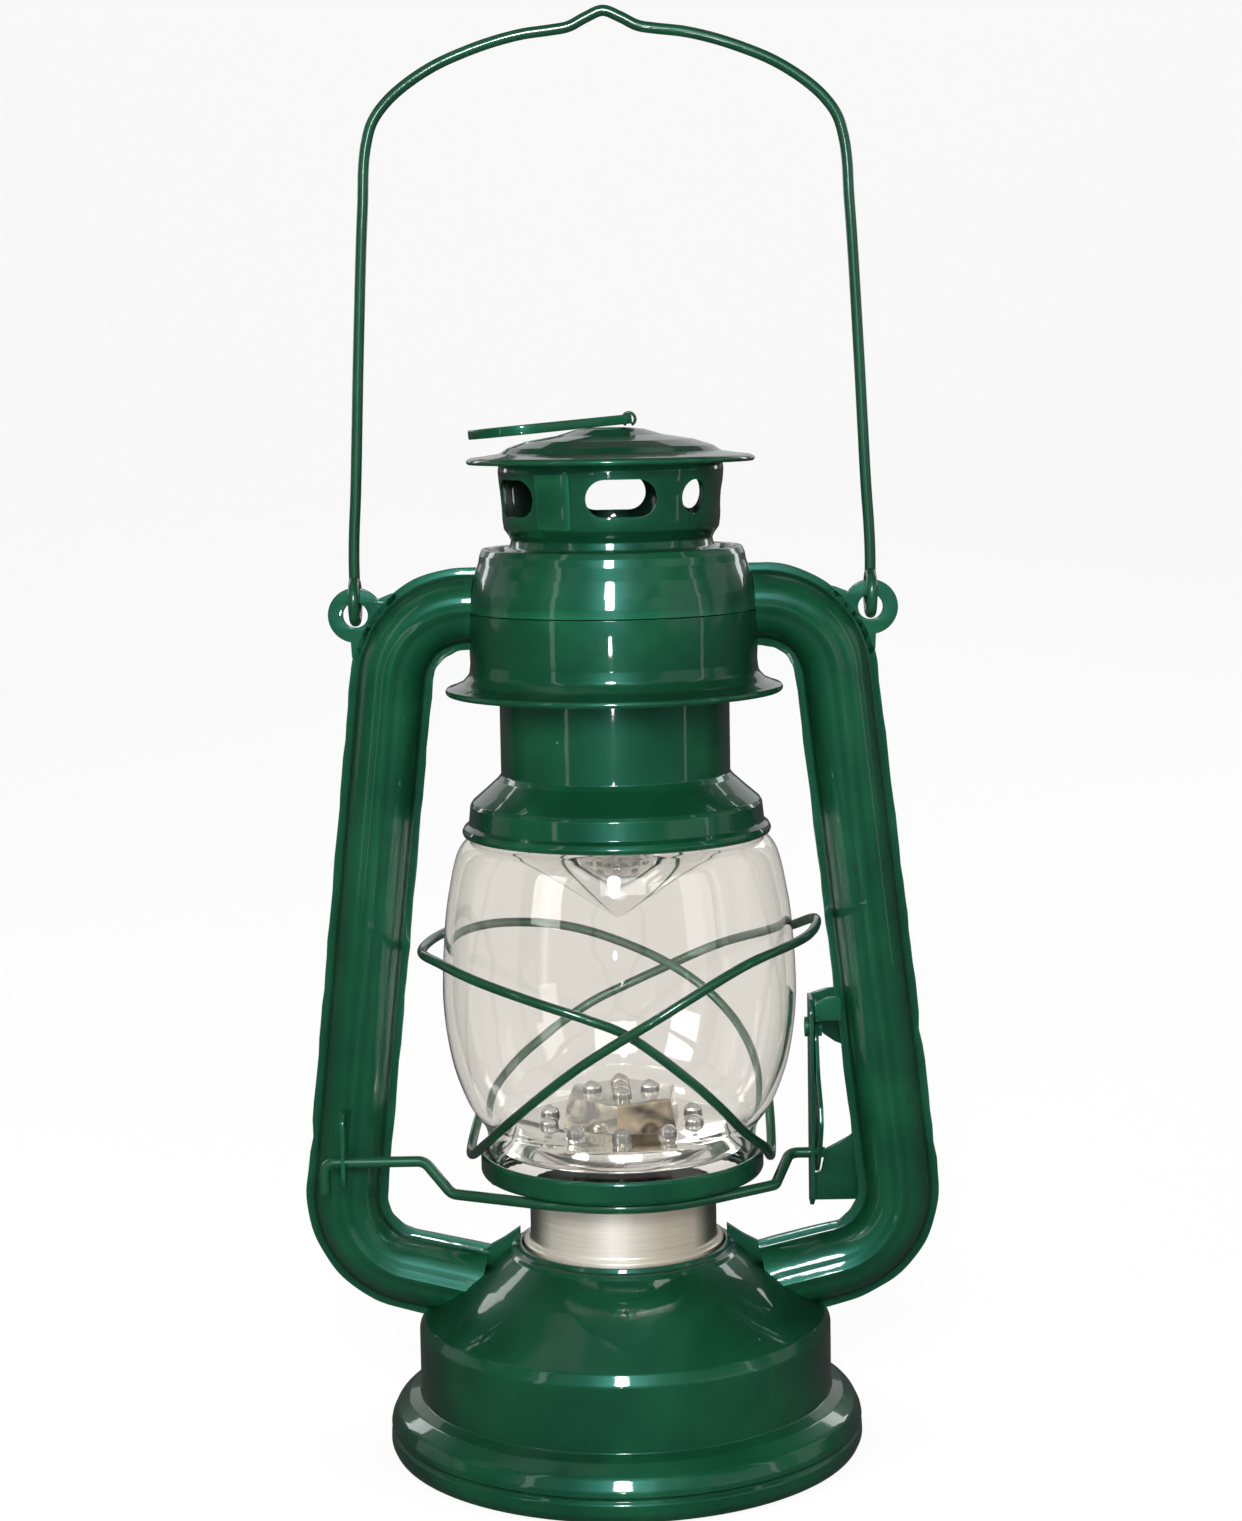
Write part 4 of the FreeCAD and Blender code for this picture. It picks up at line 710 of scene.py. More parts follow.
# Centre line of the right tube: x, z[, fillet].
TUBE_CORNERS = [(16.0, TUBE_TOP_Z), (51.0, TUBE_TOP_Z, SHOULDER_RADIUS),
                (68.7, 47.2, 19.0), (35.0, 38.75)]
SHOULDER_CENTER = (34.92, TUBE_TOP_Z - SHOULDER_RADIUS)
HALF_WIDTH, HALF_DEPTH = 7.75, 7.45     # of the tube's round part
WALL = 0.8                              # thickness of the half shell
FLANGE_EDGE = 9.8                       # from the centre line
SEAM_Y = 0.05                           # inner face of the flange
FLANGE_Y = SEAM_Y + WALL                # outer face of the flange
EAR_X, EAR_Z, EAR_RADIUS, EAR_HOLE_RADIUS = 61.0, 202.7, 6.5, 2.97
# Flange nicks: side -> heights of the nicks.
NICKS = {1: (99.0, 73.0), -1: (75.0,)}
# Fin above the foot of the tube: x, z[, fillet].
FOOT_FIN = [(25.1, 53.3), (25.1, 50.2), (29.3, 46.55), (46.0, 34.4), (47.0, 38.5),
            (36.5, 46.6, 8.0), (29.0, 50.6, 8.0)]
# Solids the tube ends are cut back to, the base and the drum: radius, z.
BASE_ENVELOPE = [
    (0.0, 8.0), (50.1, 8.0), (50.1, 29.6), (48.8, 32.25), (36.0, 42.02), (28.0, 47.6),
    (27.3, 48.6), (26.0, 48.8), (25.6, 49.95), (0.0, 49.95)]
DRUM_ENVELOPE = [
    (0.0, 185.0), (38.0, 185.0), (36.3, 186.6), (34.47, 188.3), (34.24, 191.0),
    (34.27, 202.3), (34.3, 203.4), (34.1, 206.0), (33.72, 208.5), (32.68, 211.95),
    (31.73, 214.75), (31.4, 217.9), (0.0, 217.9)]


def tube_section():
    """Closed section of a half shell: (depth from the seam plane, distance across)."""
    edge = [(SEAM_Y, FLANGE_EDGE - 0.15), (SEAM_Y + 0.15, FLANGE_EDGE),
            (FLANGE_Y - 0.15, FLANGE_EDGE), (FLANGE_Y, FLANGE_EDGE - 0.2),
            (FLANGE_Y, HALF_WIDTH + 0.55), (FLANGE_Y + 0.12, HALF_WIDTH + 0.22)]
    section = list(edge)
    start = 0.22
    for k in range(31):
        a = start + (math.pi - 2 * start) * k / 30
        q = a - math.pi / 2
        # A raised rib runs down the middle, with a shallow groove on each side.
        rib = (0.62 * math.exp(-(q / 0.105) ** 2)
               - 0.16 * math.exp(-((abs(q) - 0.24) / 0.07) ** 2))
        section.append(((HALF_DEPTH + rib) * math.sin(a), HALF_WIDTH * math.cos(a)))
    section += [(depth, -across) for depth, across in reversed(edge)]
    for k in range(15):
        a = math.pi - 0.05 - (math.pi - 0.1) * k / 14
        section.append(((HALF_DEPTH - 0.9) * math.sin(a) + SEAM_Y,
                        (HALF_WIDTH - 0.8) * math.cos(a)))
    return section


def tube_sweep(name, side, facing):
    """Sweeps the section from the drum to the base."""
    path = [(side * x, z) for x, z in dense(fillet(TUBE_CORNERS, steps=26), 4.0)]
    section = tube_section()
    count, stations = len(section), len(path)
    verts, faces = [], []
    run = 0.0
    for i, (x, z) in enumerate(path):
        a = path[max(i - 1, 0)]
        b = path[min(i + 1, stations - 1)]
        along = Vector((b[0] - a[0], b[1] - a[1])).normalized()
        # Outward normal of the loop that the tubes make.
        normal_x, normal_z = (-side * along.y, side * along.x) if i else (0.0, 1.0)
        # The seam flange wanders a little where it was crimped.
        run += (Vector((x, z)) - Vector(a)).length
        wander = 0.10 * math.sin(run * 0.31 + side) + 0.06 * math.sin(run * 0.83 + 2 * side)
        flare = 1.0 + 0.05 * max(0.0, (i - (stations - 10)) / 9.0)
        nick = 0.0
        if x * side > 40:
            nick = max(math.exp(-((z - height) / 1.7) ** 2) for height in NICKS[side])
        for depth, across in section:
            edge = wander * max(0.0, (abs(across) - 8.6) / 1.2) * (1 if across > 0 else -1)
            pinch = nick if across > 8.6 else 0.0
            out = across * flare + edge - 0.55 * pinch
            verts.append((x + normal_x * out, facing * depth - 0.75 * pinch,
                          z + normal_z * out))
    for i in range(stations - 1):
        here, ahead = i * count, (i + 1) * count
        for k in range(count):
            j = (k + 1) % count
            faces.append((here + k, ahead + k, ahead + j, here + j))
    faces.append(tuple(range(count)))
    faces.append(tuple((stations - 1) * count + k for k in range(count))[::-1])
    return make_object(name, verts, faces, GREEN, sharp=42)


def ear_outline():
    """Ear for the bail on the outside of the shoulder bend."""
    center_x, center_z = SHOULDER_CENTER
    aim = math.degrees(math.atan2(EAR_Z - center_z, EAR_X - center_x))

    def polar(radius, degrees):
        a = math.radians(aim + degrees)
        return (center_x + radius * math.cos(a), center_z + radius * math.sin(a))

    return fillet(
        [polar(24.6, -21), polar(27.7, -21) + (5.0,)]
        + arc(EAR_X, EAR_Z, EAR_RADIUS, aim - 112, 224, 30)
        + [polar(27.7, 21) + (5.0,), polar(24.6, 21), polar(24.2, 0)], closed=True)


def tube_half(name, node, side, facing):
    """Half shell; side is +1 right, -1 left, and facing +1 rear, -1 front."""
    def mirrored(points):
        return [(side * x, z) for x, z in points]

    body = tube_sweep(name + "_body", side, facing)
    low, high = sorted((facing * SEAM_Y, facing * FLANGE_Y))
    ear = plate(name + "_ear", mirrored(ear_outline()),
                [mirrored(circle(EAR_X, EAR_Z, EAR_HOLE_RADIUS, 36))],
                "y", low, high, bevel=0.16)
    fin = plate(name + "_fin", mirrored(fillet(FOOT_FIN, closed=True)), [],
                "y", low, high, bevel=0.16)
    for envelope in (BASE_ENVELOPE, DRUM_ENVELOPE):
        cut(body, lathe("cutter", envelope, GREEN, 160, sharp=None))
    stand_in(join(name, [body, ear, fin]), node)


for side_name, side in (("right", 1), ("left", -1)):
    for half_name, facing in (("front", -1), ("rear", 1)):
        node = f"tube_{side_name}_{half_name}"
        tube_half(node + "_shell", node, side, facing)

# ------------------------------------------------- drum, chimney, crown, cap
# Each line: radius, z[, fillet].
DRUM_LOWER_LINE = [
    (33.2, 204.9), (33.2, 203.08, 0.15), (34.18, 202.95, 0.22), (34.22, 195.5),
    (34.05, 191.2, 3.0), (34.35, 188.4, 2.5), (36.1, 186.45, 3.0), (38.9, 185.25, 1.0),
    (39.85, 185.0, 0.4), (40.15, 184.2, 0.5), (39.7, 183.55, 0.4), (38.8, 183.6)]
DRUM_UPPER_LINE = [
    (28.2, 216.9), (28.7, 217.9, 0.4), (30.7, 217.95, 0.5), (31.35, 216.4, 0.8),
    (31.65, 214.7, 3.0), (32.7, 211.6, 6.0), (33.7, 208.0, 8.0), (34.15, 205.2, 6.0),
    (34.32, 203.2)]
CHIMNEY_LINE = [
    (27.35, 215.55), (27.35, 164.4, 0.6), (28.3, 163.2, 0.8), (31.2, 160.6, 6.0),
    (34.3, 157.95, 0.8), (34.85, 157.0, 0.8), (35.3, 152.7, 0.5), (36.4, 151.9, 0.5),
    (36.95, 150.8, 0.8), (36.5, 149.75, 0.6), (35.7, 149.75)]
CROWN_LINE = [
    (26.2, 239.0), (26.6, 236.0, 1.0), (26.4, 233.5), (26.1, 231.0), (25.8, 227.4),
    (25.7, 224.6), (25.4, 222.5, 1.2), (24.3, 221.0, 0.8), (23.8, 219.9, 0.8),
    (24.2, 218.0, 0.8), (26.6, 216.7, 0.6), (27.3, 216.6)]
CAP_LINE = [
    (0.0, 245.95), (4.5, 245.9), (8.0, 245.5, 3.0), (12.5, 244.15, 3.0),
    (19.75, 242.95, 3.0), (24.2, 241.5, 2.0), (26.2, 240.15, 1.5), (30.5, 239.5),
    (33.0, 239.2, 0.4), (33.8, 238.9, 0.5), (34.05, 238.2, 0.5), (33.5, 237.65, 0.4),
    (32.6, 237.9)]

stand_in(sheet_lathe("drum_lower_skirt", fillet(DRUM_LOWER_LINE)), "drum_lower_shell")
stand_in(sheet_lathe("drum_upper_shell_pressing", fillet(DRUM_UPPER_LINE)),
         "drum_upper_shell")
stand_in(sheet_lathe("chimney_and_globe_cap", fillet(CHIMNEY_LINE)), "inner_chimney")

# Vent holes in the crown: azimuth from the front in degrees, positive towards +X.
VENT_Z = 230.0
CUTTER_RADII = (20.0, 30.0)       # the cutters span the crown's wall
LONG_VENTS, LONG_HALF_WIDTH, LONG_HALF_HEIGHT = (5.5, -62.0, 179.5), 8.2, 4.3
ROUND_VENTS, ROUND_RADIUS = (47.7, 90.0, 132.3, -146.0), 3.95


def stadium(half_width, half_height):
    straight = half_width - half_height
    return (arc(straight, 0.0, half_height, -90, 180, 16)
            + arc(-straight, 0.0, half_height, 90, 180, 16))


def radial_cutter(azimuth, loop):
    """Prism of the (sideways, up) loop that points outwards at the azimuth."""
    a = math.radians(azimuth)
    outward = Vector((math.sin(a), -math.cos(a), 0))
    sideways = Vector((math.cos(a), math.sin(a), 0))
    count = len(loop)
    verts = [tuple(outward * radius + sideways * u + Vector((0, 0, VENT_Z + v)))
             for radius in CUTTER_RADII for u, v in loop]
    faces = [(k, (k + 1) % count, count + (k + 1) % count, count + k) for k in range(count)]
    faces.append(tuple(range(count))[::-1])
    faces.append(tuple(range(count, 2 * count)))
    return make_object("cutter", verts, faces, GREEN, smooth=False)


crown = sheet_lathe("crown_vent_ring", fillet(CROWN_LINE, steps=5), segments=256, step=1.2)
for azimuth in LONG_VENTS:
    cut(crown, radial_cutter(azimuth, stadium(LONG_HALF_WIDTH, LONG_HALF_HEIGHT)))
for azimuth in ROUND_VENTS:
    cut(crown, radial_cutter(azimuth, circle(0.0, 0.0, ROUND_RADIUS, 32)))
set_shading(crown.data, True, sharp=40)
stand_in(crown, "crown")

# Lap seam of the vent ring: radius of the ring and z down the strip.
SEAM_LINE = [(26.62, 235.6), (26.4, 232.5), (26.1, 229.5), (25.85, 226.5), (25.8, 224.0),
             (25.6, 222.9)]


def lap_seam():
    """Doubled strip of sheet on the ring, tapered to its two long edges."""
    start, sweep, columns = -41, 20.0, 13       # azimuths in degrees
    inner, outer = 0.02, 0.42                   # heights over the ring
    last = columns - 1
    verts, faces = [], []
    for radius, z in SEAM_LINE:
        for is_outer in (False, True):
            for k in range(columns):
                a = math.radians(start + sweep * k / last)
                taper = min(outer, 0.16 + 0.26 * (min(k, last - k) / 1.2))
                r = radius + (taper if is_outer else inner)
                verts.append((r * math.sin(a), -r * math.cos(a), z))
    row = 2 * columns
    for i in range(len(SEAM_LINE) - 1):
        for layer in (0, 1):
            for k in range(last):
                a = i * row + layer * columns + k
                face = (a, a + 1, a + 1 + row, a + row)
                faces.append(face if layer else face[::-1])
        for k in (0, last):
            a = i * row + k
            faces.append((a, a + columns, a + columns + row, a + row))
    for i in (0, len(SEAM_LINE) - 1):
        for k in range(last):
            a = i * row + k
            faces.append((a, a + 1, a + 1 + columns, a + columns))
    return make_object("crown_lap_seam", verts, faces, GREEN, sharp=40)


add_detail(lap_seam(), "chimney")
stand_in(sheet_lathe("hood_cap", fillet(CAP_LINE)), "cap")

# ------------------------------------------------------------------ pull ring
STAPLE_X, STAPLE_Z = 4.5, 247.8
RING_TILT = math.radians(-4.8)
# Front half of the ring's narrow right end, outer and inner edge: x, y, fillet.
RING_END_OUTER = [(-1.5, -6.5, 6.0), (3.6, -5.2, 1.2), (5.2, -3.9, 0.9)]
RING_END_INNER = [(-1.9, -5.3, 5.0), (2.1, -4.2, 0.9), (3.5, -3.0, 0.6)]


def ring_edge(inset, end):
    """Closed edge of the ring, with x measured from the staple."""
    radius = 13.3 - inset
    points = []
    for k in range(45):
        a = math.radians(62 + 236.0 * k / 44)
        points.append((-20.5 + (radius - 0.3) * math.cos(a), radius * math.sin(a)))
    points += end + [(x, -y, r) for x, y, r in reversed(end)]
    return [(x - STAPLE_X, y) for x, y in fillet(points, closed=True)]


pull_ring = plate("pull_ring_loop", ring_edge(0.0, RING_END_OUTER),
                  [ring_edge(1.2, RING_END_INNER)], "z", -1.1, 1.1, bevel=0.3)
pull_ring.data.transform(Matrix.Translation(Vector((STAPLE_X * MM, 0, STAPLE_Z * MM)))
                         @ Matrix.Rotation(RING_TILT, 4, "Y"))
stand_in(pull_ring, "pull_ring")

# The staple is a small wire loop stretched along y into a strap.
staple = tube_along("ring_staple_loop",
                    [(x, 0, z) for x, z in arc(STAPLE_X, STAPLE_Z, 1.5, -62, 304, 30)],
                    radius=0.38, material=GREEN, sides=14)
staple.data.transform(Matrix.Scale(4.2, 4, Vector((0, 1, 0))))
stand_in(staple, "ring_staple")

# ---------------------------------------------------------------------- globe
GLASS = 1.5       # wall thickness
# Outer face of the glass from the bottom up: radius, z.
GLOBE_LINE = [
    (32.3, 70.4), (32.45, 72.5), (32.3, 76.0), (33.1, 79.5), (34.9, 82.0), (36.6, 84.6),
    (38.7, 89.5), (40.3, 94.5), (41.3, 99.4), (42.0, 104.4), (42.35, 108.8),
    (42.45, 112.0), (42.25, 119.0), (41.9, 124.0), (41.5, 129.0), (40.9, 133.6),
    (40.2, 137.5), (39.3, 142.0), (38.2, 145.6), (37.0, 147.6), (35.6, 148.9),
    (34.2, 149.8), (33.5, 150.8), (33.4, 152.5), (33.4, 155.4)]
globe_outer = [(p.x, p.y) for p in smooth_curve(GLOBE_LINE, 4)]
globe_inner = offset_line(globe_outer, -GLASS)
lip_radius = (globe_outer[-1][0] + globe_inner[-1][0]) / 2
lip = [(lip_radius + 0.5, 155.8), (lip_radius - 0.5, 155.8)]
stand_in(lathe("glass_globe", globe_outer + lip + globe_inner[::-1],
               MATERIALS["clear_glass"], 256, sharp=None), "globe")

# Ring the globe stands in, closed section: radius, z, fillet.
GLOBE_PLATE_LOOP = [
    (29.8, 68.3, 0.3), (32.9, 67.6, 0.6), (33.7, 67.3, 0.5), (34.2, 68.3, 0.8),
    (34.2, 72.2, 0.5), (33.8, 73.0, 0.35), (33.05, 72.7, 0.3), (33.0, 70.25, 0.3),
    (30.2, 70.15, 0.3), (29.8, 69.8, 0.3)]
stand_in(lathe("globe_plate_ring", fillet(GLOBE_PLATE_LOOP, closed=True, steps=5),
               GREEN, 224), "globe_plate")

# ---------------------------------------------------------------- guard hoops
# Stations round each hoop: x, y side (-1 front, 0 on the x axis, 1 rear), z.
HOOP_RIGHT = [
    (47.3, 0, 128.0), (44.0, -1, 127.3), (27.8, -1, 124.4), (9.0, -1, 114.6),
    (-9.0, -1, 103.0), (-23.0, -1, 89.2), (-31.0, -1, 79.5), (-35.5, 0, 72.0),
    (-31.5, 1, 81.0), (-26.0, 1, 86.3), (-18.1, 1, 92.2), (-7.6, 1, 99.0),
    (2.7, 1, 103.6), (12.5, 1, 108.0), (20.8, 1, 112.0), (28.5, 1, 115.6),
    (41.4, 1, 121.5)]
HOOP_LEFT = [
    (-47.3, 0, 121.8), (-41.1, -1, 122.9), (-32.3, -1, 120.9), (-18.8, -1, 117.4),
    (-6.8, -1, 113.6), (1.7, -1, 109.8), (14.7, -1, 98.6), (21.8, -1, 90.4),
    (29.0, -1, 81.3), (33.0, -1, 75.4), (36.1, 0, 70.5), (33.0, 1, 84.5),
    (29.7, 1, 92.0), (25.7, 1, 98.2), (20.7, 1, 103.6), (12.5, 1, 109.4),
    (-2.2, 1, 115.5), (-14.9, 1, 119.2), (-30.3, 1, 121.6), (-41.9, 1, 122.2)]
# Each hoop is an ellipse seen from above.
HOOP_CENTER_X, HOOP_HALF_WIDTH, HOOP_HALF_DEPTH = 6.4, 41.0, 46.6
HOOP_MIN_RADIUS = 36.1


def globe_radius(height):
    for (r0, z0), (r1, z1) in zip(GLOBE_LINE[:-1], GLOBE_LINE[1:]):
        if z0 <= height <= z1:
            return r0 + (r1 - r0) * (height - z0) / (z1 - z0)
    return 0.0


def hoop(stations, side, clearance, front_swell):
    """Closed path that keeps its clearance from the globe; side +1 leans to the right."""
    points = []
    for x, y_side, z in stations:
        c = max(-1.0, min(1.0, (side * x - HOOP_CENTER_X) / HOOP_HALF_WIDTH))
        depth = HOOP_HALF_DEPTH + (front_swell if y_side < 0 else 0.0)
        y = y_side * depth * math.sqrt(max(0.0, 1 - c * c))
        radius = math.hypot(x, y)
        least = max(globe_radius(z) + GUARD_WIRE_RADIUS + clearance, HOOP_MIN_RADIUS)
        if radius < least:
            push = least / max(radius, 1e-6)
            x, y = x * push, y * push
        points.append((x, y, z))
    return smooth_curve(points, 9, closed=True)


hoop_right = hoop(HOOP_RIGHT, side=1, clearance=3.1, front_swell=1.6)
hoop_left = hoop(HOOP_LEFT, side=-1, clearance=0.75, front_swell=-1.6)
stand_in(tube_along("guard_hoop_right", hoop_right, GUARD_WIRE_RADIUS, WIRE_GREEN,
                    sides=18, closed=True), "guard_hoop_a")
stand_in(tube_along("guard_hoop_left", hoop_left, GUARD_WIRE_RADIUS, WIRE_GREEN,
                    sides=18, closed=True), "guard_hoop_b")

# ------------------------------------------------------------------ lift wire
LEFT_ARM_Z, RIGHT_ARM_Z, RING_Z = 73.0, 70.4, 65.95
RING_RADIUS = 31.0
RING_CORNER_STEP = 24       # degrees between the ring's corners, before bending


def bent(points):
    """Wire of (x, y, z, bend radius) with its corners bent to arcs."""
    corners = [Vector(p[:3]) for p in points]
    line = [corners[0]]
    for i in range(1, len(corners) - 1):
        back, ahead = corners[i - 1] - corners[i], corners[i + 1] - corners[i]
        back_length, ahead_length = back.length, ahead.length
        back.normalize()
        ahead.normalize()
        angle = back.angle(ahead)
        reach = min(points[i][3] / math.tan(angle / 2), 0.5 * back_length, 0.5 * ahead_length)
        radius = reach * math.tan(angle / 2)
        center = corners[i] + (back + ahead).normalized() * (radius / math.sin(angle / 2))
        first = corners[i] + back * reach - center
        last = corners[i] + ahead * reach - center
        sweep = first.angle(last)
        for k in range(11):
            f = k / 10
            spoke = (first * (math.sin((1 - f) * sweep) / math.sin(sweep))
                     + last * (math.sin(f * sweep) / math.sin(sweep)))
            if (center + spoke - line[-1]).length > 0.05:
                line.append(center + spoke)
    line.append(corners[-1])
    out = [line[0]]
    for a, b in zip(line[:-1], line[1:]):
        parts = max(1, int((b - a).length / 3.0))
        out += [a + (b - a) * (k / parts) for k in range(1, parts + 1)]
    return out


corner_radius = RING_RADIUS / math.cos(math.radians(RING_CORNER_STEP / 2))
ring_corners = [(x, y, RING_Z, RING_RADIUS) for x, y in
                arc(0.0, 0.0, corner_radius, 240, 3 * RING_CORNER_STEP, 3)]
lift_wire = (
    [(-71.0, -12.2, LEFT_ARM_Z - 7.5, 0), (-71.0, -12.0, LEFT_ARM_Z, 2.4),
     (-47.2, -12.0, LEFT_ARM_Z, 3.5), (-40.6, -15.8, RING_Z, 3.5)]
    + ring_corners
    + [(36.4, -12.5, RING_Z, 2.6), (40.6, 0.0, RIGHT_ARM_Z, 2.8),
       (49.0, 0.0, RIGHT_ARM_Z, 0)])
stand_in(tube_along("lift_wire_front", bent(lift_wire), WIRE_RADIUS, WIRE_GREEN),
         "lift_wire")
rear_wire = [(x, y, RING_Z) for x, y in arc(0.0, 0.0, RING_RADIUS, 188, -190, 60)]
stand_in(tube_along("lift_wire_rear", rear_wire, WIRE_RADIUS, WIRE_GREEN),
         "plate_ring_wire")

# ----------------------------------------------------------------------- bail
EYE_RADIUS, EYE_Z = 4.7, 206.0
# Right half of the bail from its eye up to near the peak: x, z.
BAIL_HALF = [
    (61.0, 210.7), (60.98, 216.0), (60.75, 222.0), (60.1, 232.0), (58.7, 262.0),
    (57.2, 290.0), (56.6, 299.0), (56.2, 307.0), (55.5, 312.0), (54.0, 317.0),
    (51.0, 321.2), (46.5, 325.2), (39.5, 329.6), (32.0, 332.8), (25.0, 335.1),
    (18.5, 336.6), (12.0, 337.4), (8.0, 338.1), (4.0, 340.1)]
bail_path = ([(x, 0.0, z) for x, z in BAIL_HALF] + [(0.0, 0.0, 341.6)]
             + [(-x, 0.0, z) for x, z in reversed(BAIL_HALF)])
bail_parts = [tube_along("bail_wire", smooth_curve(bail_path), WIRE_RADIUS, WIRE_GREEN,
                         cap=False)]
for side in (-1, 1):
    eye = [(side * EAR_X, y, z) for z, y in circle(EYE_Z, 0.0, EYE_RADIUS, 48)]
    bail_parts.append(tube_along("bail_eye", eye, WIRE_RADIUS, WIRE_GREEN, closed=True))
stand_in(join("bail_handle_wire", bail_parts), "bail_handle")

# ------------------------------------------------------- collar and reflector
# Closed sections: radius, z[, fillet].
COLLAR_LOOP = [
    (14.0, 48.5), (24.1, 48.5, 0.25), (24.4, 48.8, 0.2), (24.4, 50.5, 0.35),
    (24.0, 50.85, 0.3), (22.9, 51.0, 0.4), (22.6, 51.5, 0.4), (22.6, 63.0, 0.8),
    (21.8, 64.0, 0.8), (9.2, 64.0), (9.2, 63.2), (21.5, 63.2), (21.8, 62.8),
    (21.8, 50.5), (21.4, 49.3), (14.0, 49.3)]
REFLECTOR_LOOP = [
    (8.0, 78.2), (25.0, 78.2, 0.4), (25.5, 77.6), (26.3, 76.0), (27.3, 74.4),
    (28.1, 73.7), (28.95, 73.7, 0.2), (29.0, 74.1, 0.2), (28.1, 75.0, 1.0),
    (27.1, 76.6), (26.4, 78.1, 0.6), (26.0, 78.8, 0.4), (25.4, 79.0, 0.4), (8.0, 79.0)]
LED_RADIUS, LED_HOLE_RADIUS = 2.3, 2.45
# Ten LEDs stand in a ring on the dish, five in a cross on the block.
RING_LEDS = [(18.4 * math.cos(a), 18.4 * math.sin(a))
             for a in (math.radians(-90 + 36 * k) for k in range(10))]
CROSS_PITCH, CROSS_TURN = 7.0, math.radians(2.0)
CROSS_LEDS = [
    (CROSS_PITCH * (u * math.cos(CROSS_TURN) - v * math.sin(CROSS_TURN)),
     CROSS_PITCH * (u * math.sin(CROSS_TURN) + v * math.cos(CROSS_TURN)))
    for u, v in [(0, 0), (1, 0), (-1, 0), (0, 1), (0, -1)]]


def drill(obj, centers, low, high):
    """Cuts an upright LED hole at each centre."""
    for x, y in centers:
        cutter = lathe("cutter", [(0.0, low), (LED_HOLE_RADIUS, low), (LED_HOLE_RADIUS, high),
                                  (0.0, high)], obj.data.materials[0], 28, sharp=None)
        move(cutter, x, y)
        cut(obj, cutter)


stand_in(lathe("burner_collar_ring", fillet(COLLAR_LOOP, closed=True, steps=4),
               MATERIALS["satin_steel"]), "burner_collar")
dish = lathe("reflector_dish", fillet(REFLECTOR_LOOP, closed=True, steps=4), CHROME)
drill(dish, RING_LEDS, 76.0, 81.0)
dish.data.set_sharp_from_angle(angle=math.radians(35))
stand_in(dish, "reflector")

# ------------------------------------------------------ LED pedestal and LEDs
# Corner radius and z of the six-sided block and of the hollow under its top.
BLOCK_RINGS = [(15.25, 78.95), (15.6, 79.1), (15.58, 79.3), (14.35, 85.7),
               (14.15, 86.2), (13.8, 86.4)]
HOLLOW_RINGS = [(14.6, 78.0), (13.2, 85.5)]


def hexagonal(name, rings):
    """Six-sided solid through the rings, turned 4 degrees off the front."""
    verts, faces = [], []
    for radius, z in rings:
        verts += [(x, y, z) for x, y in arc(0.0, 0.0, radius, -94, 300, 5)]
    for i in range(0, 6 * (len(rings) - 1), 6):
        for k in range(6):
            k2 = (k + 1) % 6
            faces.append((i + k, i + k2, i + 6 + k2, i + 6 + k))
    faces.append(tuple(range(6))[::-1])
    faces.append(tuple(range(6 * len(rings) - 6, 6 * len(rings))))
    return make_object(name, verts, faces, BLOCK, smooth=False)


pedestal = hexagonal("led_pedestal_block", BLOCK_RINGS)
cut(pedestal, hexagonal("cutter", HOLLOW_RINGS))
drill(pedestal, CROSS_LEDS, 84.0, 88.0)
set_shading(pedestal.data, False)
stand_in(pedestal, "led_pedestal")


def led(x, y, foot, dome):
    """Round LED that stands at z = foot, with its dome centred at z = dome."""
    profile = ([(0.0, foot), (LED_RADIUS, foot), (LED_RADIUS, dome)]
               + arc(0.0, dome, LED_RADIUS, 0, 90, 10)[1:-1]
               + [(0.0, dome + LED_RADIUS)])
    lamp = lathe("led", profile, MATERIALS["led_lens"], 32, sharp=50)
    move(lamp, x, y)
    return lamp


lamps = [led(x, y, foot=76.85, dome=79.6) for x, y in RING_LEDS]
lamps += [led(x, y, foot=84.75, dome=87.0) for x, y in CROSS_LEDS]
stand_in(join("led_lamps", lamps), "leds")

# Cone that points down at the LEDs, closed section: radius, z[, fillet].
CONE_LOOP = [(0.0, 129.0), (1.0, 129.35), (31.2, 149.2, 0.4), (31.2, 158.6),
             (30.6, 158.9), (30.6, 149.6), (0.9, 130.2), (0.0, 129.9)]
stand_in(lathe("cone_reflector_shell", fillet(CONE_LOOP, steps=4), CHROME, sharp=30),
         "cone_reflector")

# -------------------------------------------------------------- lever bracket
# Web across the tube (y, z[, fillet]) and two tabs out to the tube (x, z[, fillet]).
BRACKET_WEB = [(-5.5, 60.0, 1.0), (-1.0, 57.6, 1.0), (4.2, 57.6, 0.3), (4.2, 109.0, 0.3),
               (-3.5, 108.8, 1.5), (-5.5, 106.0, 1.5)]
BRACKET_LOWER_TAB = [
    (46.0, 57.6), (58.6, 57.6, 0.3), (59.1, 61.0), (59.1, 66.0), (58.1, 76.4, 0.3),
    (55.6, 73.6, 3.0), (52.4, 71.8, 3.0), (49.6, 70.4, 1.0), (48.4, 64.8, 0.8),
    (46.0, 64.0)]
BRACKET_UPPER_TAB = [
    (46.0, 103.6), (48.6, 103.2, 0.4), (48.9, 99.2, 1.2), (52.0, 97.0, 2.0),
    (56.0, 95.4, 0.2), (54.9, 103.0), (54.1, 110.6, 0.2), (50.0, 110.2, 3.0),
    (46.0, 109.0, 0.5)]
bracket_parts = [plate("bracket_web", fillet(BRACKET_WEB, closed=True),
                       [rounded_box(-1.5, 68.9, 1.5, 80.0, 1.4)], "x", 45.4, 46.4)]
